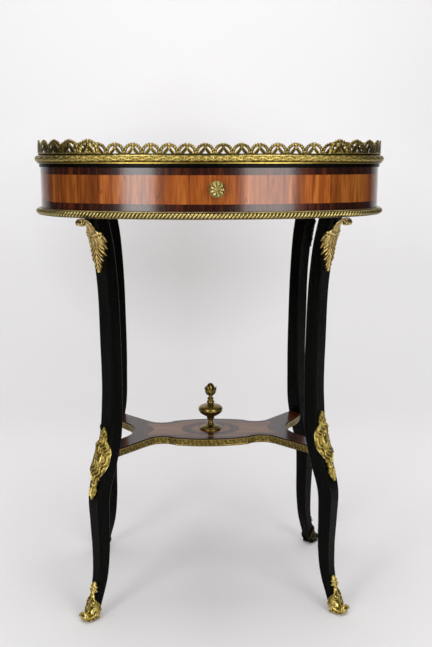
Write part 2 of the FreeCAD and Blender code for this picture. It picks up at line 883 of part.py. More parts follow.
def domed_stone(half_width, height, rise):
    """Returns an oval domed stone, facing outwards, from a stack of shrinking outlines."""
    rings = []
    for share, lift in STONE_SHARES:
        ring = [Vector(lift * rise, share * half_width * math.cos(turn),
                       share * height / 2 * math.sin(turn))
                for turn in (2 * math.pi * spot / STONE_SIDES for spot in range(STONE_SIDES))]
        rings.append(Part.makePolygon(ring + ring[:1]))
    return Part.makeLoft(rings, True, True)


def sabot_shape(leg, skin):
    """Returns the brass shoe round a foot, with its rolled toe."""
    height = value("sabot_height")
    wrap = wrap_slab(tuple(reversed(SABOT_WRAP_SHARES)), 0, height)
    shoe = skin.common(wrap)
    radius = value("toe_scroll_radius")
    reach = leg_face(radius) + value("toe_scroll_reach")
    roll = cross_roll(radius, value("toe_scroll_width"), reach, radius)
    return shoe.fuse(roll).cut(leg).removeSplitter()


def add_leg_pieces():
    """Makes the legs, their bolts and their mounts, and the loose tenons of the undertier."""
    leg = loft_leg("LegFrontRightBlank", "0")
    skin = loft_leg("LegSkin", "mount_wall")
    doc.recompute()
    bare, thick = in_leg_frame(leg), in_leg_frame(skin)
    bolt_hole = add_cylinder(
        "BoltHole", "leg_bolt_radius + screw_play", "leg_bolt_depth + leg_bolt_radius",
        "bolt_x", "-bolt_y", "leg_height - leg_bolt_depth - screw_play",
    )
    tenon = add_tenon("TenonFrontRight", "0")
    mortise = add_tenon("MortiseFrontRight", "tenon_play")
    holes = group("LegHoles", [bolt_hole, mortise])
    pieces = {
        "leg": combine("Part::Cut", "LegFrontRight", leg, holes),
        "chute": mount_feature("ChuteFrontRight", chute_shape(bare, thick)),
        "sabot": mount_feature("SabotFrontRight", sabot_shape(bare, thick)),
    }
    for label, piece in pieces.items():
        publish_at_corners(label, piece)
    knees = {}
    for name, level in (("High", "knee_mount_level + knee_mount_lift_right"), ("Low", "knee_mount_level")):
        knees[name] = mount_feature("KneeMount" + name, knee_shape(bare, thick, value(level)))
    publish_pair("knee_mount", "right", knees["High"])
    publish_pair("knee_mount", "left", mirror(knees["Low"], "KneeMountFrontLeft", Vector(1, 0, 0)))
    add_leg_bolts("bolt_x", "-bolt_y")
    publish(at_four_corners("ShelfTenons", tenon), "shelf_tenons")
    return at_four_corners("AllLegs", pieces["leg"]), at_four_corners("AllMortises", mortise)


def add_tenon(name, play):
    """Adds a loose tenon, or its mortise, across the joint of the undertier and a leg."""
    level = value("shelf_level + shelf_board / 2")
    box = add("Part::Box", name)
    sides = {"Length": "tenon_length", "Width": "tenon_width", "Height": "tenon_height"}
    for side, size in sides.items():
        bind(box, side, f"{size} + 2 * {play}")
    length, width, height = (value(f"{size} / 2 + {play}") for size in sides.values())
    local = Placement(Vector(leg_face(level, -1) - length, -width, level - height), Rotation())
    frame = Placement(
        Vector(value("leg_anchor_x"), -value("leg_anchor_y"), 0), Rotation(UP, -LEG_PLANE_TURN)
    )
    box.Placement = frame.multiply(local)
    return box


def at_four_corners(name, piece):
    """Groups a front right piece with its images at the other three legs."""
    across = mirror(piece, name + "FrontLeft", Vector(1, 0, 0))
    back = mirror(piece, name + "RearRight", Vector(0, 1, 0))
    far = mirror(across, name + "RearLeft", Vector(0, 1, 0))
    return group(name, [piece, across, back, far])


def publish_pair(label, side, piece):
    """Publishes a front piece of one side and its image at the rear."""
    publish(piece, f"{label}_front_{side}")
    rear = camel(f"{label}_rear_{side}")
    publish(mirror(piece, rear, Vector(0, 1, 0)), f"{label}_rear_{side}")


def publish_at_corners(label, piece):
    """Publishes a front right piece and its images at the other three legs."""
    publish_pair(label, "right", piece)
    publish_pair(label, "left", mirror(piece, camel(label) + "FrontLeft", Vector(1, 0, 0)))


def add_leg_bolts(x, y):
    """Makes the bolts that hold the legs up to the base board, each with its nut."""
    rod_height = "leg_bolt_depth + base_board + leg_nut_height + leg_bolt_end"
    rod = add_cylinder("BoltRod", "leg_bolt_radius", rod_height, x, y, "leg_height - leg_bolt_depth")
    nut = add("Part::Prism", "BoltNut")
    nut.Polygon = 6
    bind(nut, "Circumradius", "leg_nut_radius")
    bind(nut, "Height", "leg_nut_height")
    place(nut, x, y, "frieze_level")
    bolt = combine("Part::Fuse", "LegBoltFrontRight", rod, nut)
    publish(at_four_corners("LegBolts", bolt), "leg_bolts")
    hole = add_cylinder(
        "BaseHole", "leg_bolt_radius + screw_play", "3 * base_board", x, y, "leg_height - base_board"
    )
    board = nodes.pop("base_board")
    board.Label = "base_board_blank"
    publish(
        combine("Part::Cut", "BaseBoardDrilled", board, at_four_corners("BaseHoles", hole)), "base_board"
    )


def walk_back(path, flip_x):
    """Returns the mirror image of an open path of corners, walked the other way."""
    corners = [(f"-({x})", y) if flip_x else (x, f"-({y})") for x, y, bend in path]
    bends = [corner[2] for corner in path[:-1]] + [None]
    order = range(len(path) - 1, -1, -1)
    return [(*corners[index], bends[index - 1] if index else None) for index in order]


def join_paths(first, bend, second):
    """Joins two open paths with a bend from the end of one to the start of the other."""
    return first[:-1] + [(*first[-1][:2], bend)] + second


# Turns of the undertier's edge, in degrees
LOBE_TURN = 35
WAIST_TURN = -94
ARM_TURN = 24
NOTCH_TURN = -80


def shelf_corners():
    """Returns the undertier's outline, anticlockwise from the right end of its front lobe."""
    level = value("shelf_level + shelf_board / 2")
    reach = leg_face(level, -1) + value("shelf_tongue")
    half = leg_station(level)[1] * TONGUE_SHARE
    turn = math.radians(LEG_PLANE_TURN)
    near = reach * math.cos(turn) - half * math.sin(turn)
    far = reach * math.cos(turn) + half * math.sin(turn)
    quarter = [
        ("shelf_cusp_x", "-shelf_cusp_y", WAIST_TURN),
        ("shelf_arm_x", "-shelf_arm_y", None),
        (f"leg_anchor_x + {near:.4f}", f"-(leg_anchor_y + {far:.4f})", None),
        (f"leg_anchor_x + {far:.4f}", f"-(leg_anchor_y + {near:.4f})", ARM_TURN),
        ("shelf_notch_turn_x", "-shelf_notch_turn_y", None),
    ]
    half_path = join_paths(quarter, NOTCH_TURN, walk_back(quarter, False))
    return join_paths(join_paths(half_path, LOBE_TURN, walk_back(half_path, True)), LOBE_TURN, [])


def slice_of(name, sketch, growth, level, height):
    """Returns a flat solid of a sketch grown or shrunk all round."""
    outline = add("Part::Offset2D", name + "Outline")
    outline.Source = sketch
    outline.Fill = False
    outline.Join = "Arc"
    bind(outline, "Value", growth)
    solid = add("Part::Extrusion", name)
    solid.Base = outline
    solid.Solid = True
    solid.Dir = UP
    solid.DirMode = "Custom"
    bind(solid, "LengthFwd", height)
    return place(solid, z=level)


def add_shelf(legs, mortises):
    """Makes the undertier: its board, veneers, medallion and brass edge."""
    blank = add_body("ShelfBlank")
    outline = add_sketch(blank, "ShelfOutline", "XY_Plane", "shelf_level")
    draw_outline(outline, shelf_corners())
    pad(blank, outline, "shelf_board")
    rod_hole = add_cylinder(
        "RodHole", "finial_rod_radius + screw_play", "3 * shelf_board", z="shelf_level - shelf_board"
    )
    cuts = group("ShelfCuts", [legs, mortises])
    fitted = combine("Part::Cut", "ShelfFitted", blank, cuts)
    publish(combine("Part::Cut", "ShelfBoard", fitted, rod_hole), "shelf_board")
    flat = add("Sketcher::SketchObject", "ShelfFlatOutline")
    draw_outline(flat, shelf_corners())
    level, thickness = "shelf_veneer_level", "shelf_veneer"
    face = slice_of("ShelfFace", flat, "-shelf_veneer_inset", level, thickness)
    inner = slice_of("ShelfInner", flat, "-shelf_border", level, thickness)
    span = add_box(
        "FieldSpan",
        ("-shelf_field_x", "-2 * shelf_lobe_half_depth", level),
        ("shelf_field_x", "2 * shelf_lobe_half_depth", f"{level} + {thickness}"),
    )
    ends = [
        add_cylinder(f"FieldEnd{side + 1}", "field_end_radius", f"3 * {thickness}",
                     f"{side} * (shelf_field_x + field_end_radius * {FIELD_END_SHARE})", "0",
                     f"{level} - {thickness}")
        for side in (-1, 1)
    ]
    bow = combine("Part::Common", "FieldBow", inner, span)
    field = combine("Part::Cut", "FieldShape", bow, group("FieldEnds", ends))
    medallion = pad_outlines(
        "Medallion",
        [oval_corners("medallion_half_width", "medallion_half_depth", "medallion_arc_centre")],
        level, thickness,
    )
    core = pad_outlines(
        "MedallionCore",
        [oval_corners("core_half_width", "core_half_depth", "core_arc_centre")],
        level, thickness,
    )
    border = combine("Part::Cut", "ShelfBorder", face, combine("Part::Fuse", "Inlay", field, medallion))
    ring = combine("Part::Cut", "MedallionRing", medallion, core)
    pieces = {
        "shelf_border_veneer": combine("Part::Cut", "ShelfBorderFitted", border, legs),
        "shelf_field_veneer": combine("Part::Cut", "ShelfField", field, medallion),
        "shelf_medallion_ring": ring,
        "shelf_medallion_core": combine("Part::Cut", "MedallionCoreBored", core, rod_hole),
    }
    for label, piece in pieces.items():
        publish(piece, label)
    band_level = "shelf_level + shelf_banding_drop"
    outer = slice_of("BandingOuter", flat, "shelf_banding", band_level, "shelf_banding_height")
    inside = slice_of("BandingInner", flat, "0", band_level, "shelf_banding_height")
    strip = combine("Part::Cut", "BandingStrip", outer, inside)
    publish(combine("Part::Cut", "ShelfBanding", strip, cuts), "shelf_banding")


def shares_of(radius, height, rows):
    """Returns profile corners from rows of shares of a radius and a height."""
    return [(f"{radius} * {out}", f"{height} * {up}") for out, up in rows]


FOOT_SHARES = ((1.0, 0.0), (1.0, 0.14), (0.86, 0.26), (0.4, 0.38), (0.24, 0.5), (0.22, 0.84), (0.3, 1.0))
VASE_SHARES = ((0.26, 0.0), (0.3, 0.1), (0.86, 0.28), (1.0, 0.42), (0.94, 0.52), (0.5, 0.66),
               (0.2, 0.72), (0.27, 0.82), (0.2, 0.92), (0.27, 1.0))
BUD_SHARES = ((0.5, 0.0), (0.26, 0.16), (0.8, 0.42), (1.0, 0.68), (0.62, 0.74), (0.42, 0.94))
KNOB_SHARES = ((0.65, 0.0), (0.62, 0.14), (0.34, 0.3), (0.5, 0.5), (0.96, 0.6), (1.0, 0.7),
               (0.86, 0.86), (0.42, 1.0))


def add_finial():
    """Makes the turned urn that stands on the undertier, and the rod and nut that hold it."""
    bore = "finial_rod_radius + screw_play"
    foot = [(bore, "0"), *shares_of("finial_foot_radius", "finial_foot_height", FOOT_SHARES),
            (bore, "finial_foot_height")]
    publish(place(turn_solid("FinialFoot", foot), z="shelf_surface"), "finial_foot")
    socket = "finial_rod_reach - finial_foot_height + screw_play"
    vase = [(bore, "0"), *shares_of("finial_vase_radius", "finial_vase_height", VASE_SHARES),
            ("0", "finial_vase_height"), ("0", socket), (bore, socket)]
    vase_level = "shelf_surface + finial_foot_height"
    publish(place(turn_solid("FinialVase", vase), z=vase_level), "finial_vase")
    bud = [("0", "0"), *shares_of("finial_bud_radius", "finial_bud_height", BUD_SHARES),
           ("0", "finial_bud_height")]
    bud_level = f"{vase_level} + finial_vase_height"
    publish(place(turn_solid("FinialBud", bud), z=bud_level), "finial_bud")
    rod_height = "finial_rod_drop + shelf_board + shelf_veneer + finial_rod_reach"
    rod = add_cylinder(
        "FinialRodBar", "finial_rod_radius", rod_height, z="shelf_level - finial_rod_drop"
    )
    nut = add("Part::Prism", "FinialNut")
    nut.Polygon = 6
    bind(nut, "Circumradius", "finial_nut_radius")
    bind(nut, "Height", "finial_nut_height")
    place(nut, z="shelf_level - finial_nut_height")
    publish(combine("Part::Fuse", "FinialRod", rod, nut), "finial_rod")


def front_sector(outer, inner, half_width):
    """Returns a bowed bar's outline between two radii about the front arc's centre."""
    centre = "side_arc_centre"
    corners = []
    for radius, side, way in ((outer, -1, 1), (outer, 1, None), (inner, 1, -1), (inner, -1, None)):
        bend = ("0", centre, way) if way else None
        corners.append((f"{side} * ({half_width})",
                        f"{centre} - sqrt(({radius})^2 - ({half_width})^2)", bend))
    return corners


def add_drawer():
    """Makes the bow-fronted drawer with its veneers, its box and its knob."""
    middle = "frieze_level + frieze_height / 2 + knob_rise"
    hole = add("Part::Cylinder", "KnobScrewHole")
    bind(hole, "Radius", "knob_screw_radius + screw_play")
    bind(hole, "Height", "2 * frieze_half_depth")
    place(hole, "0", "0", middle, QUARTER_TURN, Vector(1, 0, 0))
    core = pad_outlines(
        "DrawerFrontCore",
        [front_sector("side_radius - veneer", "front_inner_radius", "drawer_half_width")],
        "drawer_level", "drawer_front_height",
    )
    publish(combine("Part::Cut", "DrawerFront", core, hole), "drawer_front")
    skin = [front_sector("side_radius", "side_radius - veneer", "drawer_half_width")]
    field = pad_outlines(
        "DrawerFieldVeneer", skin, "frieze_level + band_height", "frieze_height - 2 * band_height"
    )
    publish(combine("Part::Cut", "DrawerField", field, hole), "drawer_field_veneer")
    band = "band_height - drawer_gap"
    lower = pad_outlines("DrawerLowerBand", skin, "drawer_level", band)
    upper = pad_outlines("DrawerUpperBand", skin, "top_level - band_height", band)
    publish(group("DrawerBands", [lower, upper]), "drawer_band_veneers")
    add_drawer_box()
    knob = [("knob_screw_radius + screw_play", "0"),
            *shares_of("knob_radius", "knob_reach", KNOB_SHARES),
            ("0", "knob_reach"), ("0", "knob_socket"), ("knob_screw_radius + screw_play", "knob_socket")]
    turned = place(turn_solid("Knob", knob), "0", "-frieze_half_depth", middle,
                   QUARTER_TURN, Vector(1, 0, 0))
    publish(turned, "drawer_knob")
    inside = "side_arc_centre - front_inner_radius"
    rod = add("Part::Cylinder", "KnobScrewRod")
    bind(rod, "Radius", "knob_screw_radius")
    bind(rod, "Height", "veneer + drawer_front_wall + knob_socket - screw_play")
    place(rod, "0", inside, middle, QUARTER_TURN, Vector(1, 0, 0))
    head = add("Part::Cylinder", "KnobScrewHead")
    bind(head, "Radius", "knob_screw_head_radius")
    bind(head, "Height", "knob_screw_head")
    place(head, "0", f"{inside} + knob_screw_head + screw_play", middle, QUARTER_TURN, Vector(1, 0, 0))
    neck = add("Part::Cylinder", "KnobScrewNeck")
    bind(neck, "Radius", "knob_screw_radius")
    bind(neck, "Height", "2 * screw_play")
    place(neck, "0", f"{inside} + screw_play", middle, QUARTER_TURN, Vector(1, 0, 0))
    screw = add("Part::MultiFuse", "KnobScrew")
    screw.Shapes = [rod, head, neck]
    publish(screw, "drawer_knob_screw")


def add_drawer_box():
    """Makes the sides, back and bottom of the drawer behind its bowed front."""
    outer = "drawer_box_half_width"
    inner = f"{outer} - drawer_side"
    back_inner = "drawer_box_back - drawer_side"
    behind_front = add_cylinder(
        "BehindFront", "front_inner_radius", "top_surface", "0", "side_arc_centre"
    )
    board = add_box(
        "DrawerSideBoard",
        (inner, "-frieze_half_depth", "drawer_box_level"),
        (outer, "drawer_box_back", "drawer_box_top"),
    )
    side = combine("Part::Common", "DrawerSideRight", board, behind_front)
    publish(side, "drawer_side_right")
    publish(mirror(side, "DrawerSideLeft", Vector(1, 0, 0)), "drawer_side_left")
    publish(
        add_box(
            "DrawerBack",
            (f"-({inner})", back_inner, "drawer_box_level"),
            (inner, "drawer_box_back", "drawer_box_top - drawer_back_drop"),
        ),
        "drawer_back",
    )
    edge = f"side_arc_centre - sqrt(front_inner_radius^2 - ({inner})^2)"
    corners = [
        (f"-({inner})", edge, ("0", "side_arc_centre", 1)),
        (inner, edge, None),
        (inner, back_inner, None),
        (f"-({inner})", back_inner, None),
    ]
    bottom = pad_outlines(
        "DrawerBottom", [corners], "drawer_box_level + drawer_bottom_rise", "drawer_bottom"
    )
    publish(bottom, "drawer_bottom")


def along_oval(distance, offset):
    """Returns a point of the oval and its outward direction, by distance from mid back.

    The distance runs over the back arc, round the right end, and on to the front; a
    negative one runs round the left end.
    """
    side = -1 if distance < 0 else 1
    side_radius, end_radius = value("side_radius") + offset, value("end_radius") + offset
    side_centre, end_centre = value("side_arc_centre"), value("end_arc_centre")
    half_side = math.atan2(end_centre, side_centre)
    half_end = math.atan2(side_centre, end_centre)
    left = abs(distance)
    if left <= side_radius * half_side:
        centre, angle, radius = Vector(0, -side_centre, 0), math.pi / 2 - left / side_radius, side_radius
    elif left <= side_radius * half_side + 2 * end_radius * half_end:
        turned = (left - side_radius * half_side) / end_radius
        centre, angle, radius = Vector(end_centre, 0, 0), half_end - turned, end_radius
    else:
        turned = (left - side_radius * half_side - 2 * end_radius * half_end) / side_radius
        centre, angle, radius = Vector(0, side_centre, 0), half_side - math.pi / 2 - turned, side_radius
    outward = Vector(math.cos(angle), math.sin(angle), 0)
    point = centre + outward * radius
    return Vector(side * point.x, point.y, 0), Vector(side * outward.x, outward.y, 0)


def gallery_half_length():
    """Returns the gallery's length from mid back to its end beside the front opening."""
    offset = value("gallery_inset")
    side_radius = value("side_radius") + offset
    half_side = math.atan2(value("end_arc_centre"), value("side_arc_centre"))
    half_end = math.atan2(value("side_arc_centre"), value("end_arc_centre"))
    end_radius = value("end_radius") + offset
    open_half = math.asin(value("gallery_opening") / 2 / side_radius)
    return side_radius * (2 * half_side - open_half) + 2 * end_radius * half_end


# One bay of the gallery: shares of its pitch across and of its height up
SPANDREL_SHARES = ((0.0, 0.5), (0.1, 0.68), (0.26, 0.84), (0.42, 0.91), (0.46, 1.0), (0.46, 1.2))
TRIANGLE_SHARES = ((-0.15, 0.13), (0.15, 0.13), (0.0, 0.4))
CRESCENT_SHARES = ((0.07, 0.74), (0.12, 0.5), (0.33, 0.17), (0.31, 0.42), (0.21, 0.64))


def bay_face(shares, pitch, height):
    """Returns a flat face from shares of a bay's pitch and height."""
    return face_of([Vector(across * pitch, 0, up * height) for across, up in shares])


def flipped(shares):
    """Returns shares mirrored left to right."""
    return tuple((-across, up) for across, up in shares)


def bay_polygon(offset, half_length, pitch):
    """Returns the closed outline through the joints between bays, pushed out by an offset."""
    joints = []
    for joint in range(GALLERY_BAYS + 1):
        point, outward = along_oval(joint * pitch - half_length, value("gallery_inset"))
        joints.append(point + outward * offset)
    return joints


def add_gallery():
    """Makes the pierced gallery: one strip bent round the oval, cut through bay by bay."""
    wall, height = value("gallery_wall"), value("gallery_height")
    top = value("top_surface")
    half_length = gallery_half_length()
    pitch = 2 * half_length / GALLERY_BAYS
    outer = bay_polygon(wall / 2, half_length, pitch)
    inner = bay_polygon(-wall / 2, half_length, pitch)
    strip = face_of(outer + inner[::-1]).extrude(Vector(0, 0, height))
    strip.translate(Vector(0, 0, top))
    cutters = []

    def cut_at(distance, face):
        point, outward = along_oval(distance, value("gallery_inset"))
        tangent = outward.cross(UP)
        frame = FreeCAD.Matrix(
            tangent.x, outward.x, 0, point.x,
            tangent.y, outward.y, 0, point.y,
            0, 0, 1, top,
            0, 0, 0, 1,
        )
        slug = face.extrude(Vector(0, 4 * wall, 0))
        slug.translate(Vector(0, -2 * wall, 0))
        slug.transformShape(frame)
        cutters.append(slug)

    for bay in range(GALLERY_BAYS):
        middle = (bay + 0.5) * pitch - half_length
        for shares in (TRIANGLE_SHARES, CRESCENT_SHARES, flipped(CRESCENT_SHARES)):
            cut_at(middle, bay_face(shares, pitch, height))
    spandrel = SPANDREL_SHARES + flipped(SPANDREL_SHARES[:0:-1])
    for joint in range(GALLERY_BAYS + 1):
        cut_at(joint * pitch - half_length, bay_face(spandrel, pitch, height))
    gallery = add("Part::Feature", "Gallery")
    gallery.Shape = strip.cut(cutters)
    publish(gallery, "gallery")


def check_and_write():
    """Checks every object and every piece, then writes one STEP file for each piece."""
    doc.recompute()
    for thing in doc.Objects:
        bad = [state for state in thing.State if state in ("Invalid", "Error")]
        if bad:
            raise RuntimeError(f"{thing.Name} is {bad}")
    for label, piece in nodes.items():
        shape = piece.Shape
        if shape.isNull() or not shape.isValid() or not shape.Solids:
            raise RuntimeError(f"{label} has no valid solid")
    os.makedirs("parts", exist_ok=True)
    for label, piece in nodes.items():
        piece.Shape.exportStep(f"parts/{label}.step")
    print(len(nodes), "nodes written")


write_sheet()
derive_layout()
add_top()
add_base()
add_frieze()
add_drawer_rails()
add_glue_blocks()
add_shelf(*add_leg_pieces())
add_finial()
add_gallery()
add_drawer()
check_and_write()
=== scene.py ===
"""Dresses the oval occasional table: finishes, relief work, camera and light.

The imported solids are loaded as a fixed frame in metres, +Z up, front towards -Y. Plain
joinery keeps its solid and gets a finish; cast and carved work is worked out here as
surfaces of two parameters and stands for its solid.
"""
import json
import logging
import math
from dataclasses import dataclass, field, replace
from enum import Enum
from typing import Callable, Sequence

import bmesh
import bpy
import numpy as np
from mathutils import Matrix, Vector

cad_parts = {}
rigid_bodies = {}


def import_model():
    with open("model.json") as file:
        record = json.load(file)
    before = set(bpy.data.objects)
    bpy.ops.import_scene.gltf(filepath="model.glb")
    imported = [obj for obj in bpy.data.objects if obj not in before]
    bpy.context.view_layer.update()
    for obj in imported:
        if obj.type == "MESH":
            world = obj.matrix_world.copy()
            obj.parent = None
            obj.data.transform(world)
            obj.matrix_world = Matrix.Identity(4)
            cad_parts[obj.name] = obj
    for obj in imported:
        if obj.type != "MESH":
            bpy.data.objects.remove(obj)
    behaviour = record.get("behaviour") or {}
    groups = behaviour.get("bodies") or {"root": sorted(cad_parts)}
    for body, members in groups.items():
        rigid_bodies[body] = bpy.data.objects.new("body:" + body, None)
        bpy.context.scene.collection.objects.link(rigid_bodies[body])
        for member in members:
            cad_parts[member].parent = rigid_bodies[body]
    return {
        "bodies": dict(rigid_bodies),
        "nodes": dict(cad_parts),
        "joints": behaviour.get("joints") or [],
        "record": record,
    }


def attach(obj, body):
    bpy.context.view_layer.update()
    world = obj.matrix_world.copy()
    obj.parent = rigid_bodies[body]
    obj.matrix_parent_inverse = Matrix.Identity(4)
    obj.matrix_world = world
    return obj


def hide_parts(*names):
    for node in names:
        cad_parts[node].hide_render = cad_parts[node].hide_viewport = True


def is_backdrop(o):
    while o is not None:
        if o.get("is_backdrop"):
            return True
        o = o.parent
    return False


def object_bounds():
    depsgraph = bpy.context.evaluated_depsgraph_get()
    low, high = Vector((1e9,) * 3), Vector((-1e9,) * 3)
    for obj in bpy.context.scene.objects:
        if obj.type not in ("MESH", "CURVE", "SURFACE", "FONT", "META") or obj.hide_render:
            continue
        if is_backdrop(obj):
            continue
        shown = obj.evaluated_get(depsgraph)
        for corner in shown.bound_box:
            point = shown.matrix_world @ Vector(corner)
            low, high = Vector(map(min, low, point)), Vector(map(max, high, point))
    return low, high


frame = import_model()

Array = np.ndarray
Pattern = Callable[[Array, Array], Array]
Relief = Callable[[Array, Array, Array], Array]
Triple = tuple[float, float, float]
log = logging.getLogger("table")
MM = 0.001
WELD = 1e-7
SMOOTH_ANGLE = 40.0
DIAGONAL = math.sqrt(0.5)


# Surfaces


@dataclass
class Surface:
    """A mesh in the making: points in metres, quads, triangles and a relief value per point."""

    points: Array
    quads: Array
    tris: Array
    relief: Array

    def moved(self, move: Callable[[Array], Array]) -> "Surface":
        """Returns the surface with its points passed through a function."""
        return Surface(move(self.points), self.quads, self.tris, self.relief)

    @staticmethod
    def joined(parts: Sequence["Surface"]) -> "Surface":
        """Returns several surfaces as one.

        Args:
            parts: The surfaces, each closed by itself.

        Returns:
            One surface that holds them all.
        """
        starts = np.cumsum([0] + [len(part.points) for part in parts])[:-1]
        return Surface(
            np.vstack([part.points for part in parts]),
            np.vstack([part.quads + start for part, start in zip(parts, starts)]),
            np.vstack([part.tris + start for part, start in zip(parts, starts)]),
            np.concatenate([part.relief for part in parts]),
        )

    def piece(self, name: str, body: str, slot: str, nodes: Sequence[str],
              smooth: float = SMOOTH_ANGLE) -> bpy.types.Object:
        """Makes the Blender object, turned outwards, riding on its body.

        Args:
            name: The piece's name.
            body: The CAD body that it moves with.
            slot: The record's material slot; not used.
            nodes: The CAD nodes that it stands for.
            smooth: The angle in degrees under which two faces are shaded as one.

        Returns:
            The new object.
        """
        mesh = bpy.data.meshes.new(name)
        mesh.vertices.add(len(self.points))
        mesh.vertices.foreach_set("co", self.points.astype(np.float32).ravel())
        corners = np.concatenate([self.quads.ravel(), self.tris.ravel()]).astype(np.int32)
        counts = np.concatenate([np.full(len(self.quads), 4), np.full(len(self.tris), 3)])
        mesh.loops.add(len(corners))
        mesh.loops.foreach_set("vertex_index", corners)
        mesh.polygons.add(len(counts))
        starts = np.concatenate([[0], np.cumsum(counts)[:-1]]).astype(np.int32)
        mesh.polygons.foreach_set("loop_start", starts)
        mesh.polygons.foreach_set("loop_total", counts.astype(np.int32))
        mesh.update(calc_edges=True)
        relief = mesh.attributes.new("relief", "FLOAT", "POINT")
        relief.data.foreach_set("value", self.relief.astype(np.float32))
        tidy = bmesh.new()
        tidy.from_mesh(mesh)
        bmesh.ops.remove_doubles(tidy, verts=tidy.verts, dist=WELD)
        bmesh.ops.recalc_face_normals(tidy, faces=tidy.faces)
        tidy.to_mesh(mesh)
        tidy.free()
        mesh.shade_smooth()
        mesh.set_sharp_from_angle(angle=math.radians(smooth))
        thing = bpy.data.objects.new(name, mesh)
        bpy.context.scene.collection.objects.link(thing)
        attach(thing, body)
        if nodes:
            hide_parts(*nodes)
        log.info("%s made, %d points", name, len(mesh.vertices))
        return thing


def grid_quads(rows: int, columns: int, loop_rows: bool) -> Array:
    """Returns the quads between rows of closed loops.

    Args:
        rows: The number of loops.
        columns: The points of each loop.
        loop_rows: True where the last loop meets the first.

    Returns:
        Four point numbers for each quad.
    """
    row = np.arange(rows if loop_rows else rows - 1)
    column = np.arange(columns)
    near, far = row[:, None] * columns, (row[:, None] + 1) % rows * columns
    following = (column + 1) % columns
    return np.stack(
        [near + column, near + following, far + following, far + column], axis=-1
    ).reshape(-1, 4)


def loft(loops: Array, relief: Array, loop_rows: bool = False) -> Surface:
    """Skins rows of closed loops; the end rows are closed by fans round their middles.

    Args:
        loops: Points, shaped (rows, columns, 3).
        relief: A value for each point, from 0 in a hollow to 1 on a height.
        loop_rows: True where the last row meets the first.

    Returns:
        A closed surface.
    """
    rows, columns = loops.shape[:2]
    points, values = loops.reshape(-1, 3), relief.reshape(-1)
    quads = grid_quads(rows, columns, loop_rows)
    if loop_rows:
        return Surface(points, quads, np.zeros((0, 3), int), values)
    middles = np.array([loops[0].mean(0), loops[-1].mean(0)])
    column = np.arange(columns)
    following = (column + 1) % columns
    last = (rows - 1) * columns
    first_fan = np.stack([following, column, np.full(columns, rows * columns)], axis=-1)
    last_fan = np.stack(
        [last + column, last + following, np.full(columns, rows * columns + 1)], axis=-1
    )
    values = np.concatenate([values, [relief[0].mean(), relief[-1].mean()]])
    return Surface(np.vstack([points, middles]), quads, np.vstack([first_fan, last_fan]), values)


def raised(flat: Array, levels: Array) -> Array:
    """Returns rows of flat points, shaped (rows, columns, 2), with one level for each column."""
    upright = np.broadcast_to(levels[None, :, None], (*flat.shape[:2], 1))
    return np.concatenate([flat, upright], axis=-1)


def beside(points: Array, outward: Array, offsets: Array) -> Array:
    """Returns for each flat point a row of points that lie offsets outside it."""
    return points[:, None, :] + outward[:, None, :] * offsets[..., None]


def smooth_through(knots: Sequence[float] | Array, values: Sequence[float] | Array,
                   at: Array) -> Array:
    """Returns values on the smooth curve through knots: cubic pieces with shared slopes.

    Args:
        knots: The places where a value is given, rising.
        values: The value at each knot.
        at: The places where values are wanted.

    Returns:
        One value for each wanted place.
    """
    knots, values = np.asarray(knots, float), np.asarray(values, float)
    slopes = np.gradient(values, knots)
    spot = np.clip(np.searchsorted(knots, at, side="right") - 1, 0, len(knots) - 2)
    width = knots[spot + 1] - knots[spot]
    t = np.clip((at - knots[spot]) / width, 0, 1)
    return (
        (2 * t**3 - 3 * t**2 + 1) * values[spot]
        + (t**3 - 2 * t**2 + t) * width * slopes[spot]
        + (3 * t**2 - 2 * t**3) * values[spot + 1]
        + (t**3 - t**2) * width * slopes[spot + 1]
    )


@dataclass(frozen=True)
class Curve:
    """A smooth curve through knots."""

    knots: tuple[float, ...]
    values: tuple[float, ...]

    @classmethod
    def even(cls, *values: float) -> "Curve":
        """Returns the curve with evenly spaced knots from 0 to 1."""
        return cls(tuple(np.linspace(0, 1, len(values))), values)

    def at(self, places: Array) -> Array:
        """Returns the curve's values at places."""
        return smooth_through(self.knots, self.values, places)


def bump_at(value: Array, middle: float | Array, width: float) -> Array:
    """Returns a soft ridge from 0 to 1: exp(-((value - middle) / width)^2)."""
    return np.exp(-(((value - middle) / width) ** 2))


@dataclass(frozen=True)
class Scroll:
    """A wound ridge on a plate: high where turns r / size - way a / (2 pi) is a whole number.

    Attributes:
        x: The eye's place across.
        y: The eye's place up.
        size: The radius at which the scroll ends.
        way: 1 or -1, the way that it is wound.
        turns: How often it is wound.
        crest: How sharp its ridge is.
        end: Where it has faded out, in sizes.
        fade: How fast it fades.
    """

    x: float
    y: float
    size: float
    way: int
    turns: float = 1.6
    crest: float = 1.3
    end: float = 1.1
    fade: float = 3.0

    def height(self, x: Array, y: Array) -> Array:
        """Returns the ridge's height from 0 to 1 over places across and up.

        Args:
            x: Places across.
            y: Places up.

        Returns:
            The height.
        """
        radius = np.hypot(x - self.x, y - self.y) / self.size
        angle = np.arctan2(y - self.y, x - self.x)
        wound = 0.5 + 0.5 * np.cos(2 * np.pi * self.turns * radius - self.way * angle)
        return wound**self.crest * np.clip((self.end - radius) * self.fade, 0, 1)


def highest(scrolls: Sequence[Scroll], x: Array, y: Array) -> Array:
    """Returns the height of the highest scroll over places across and up."""
    return np.maximum.reduce([scroll.height(x, y) for scroll in scrolls])


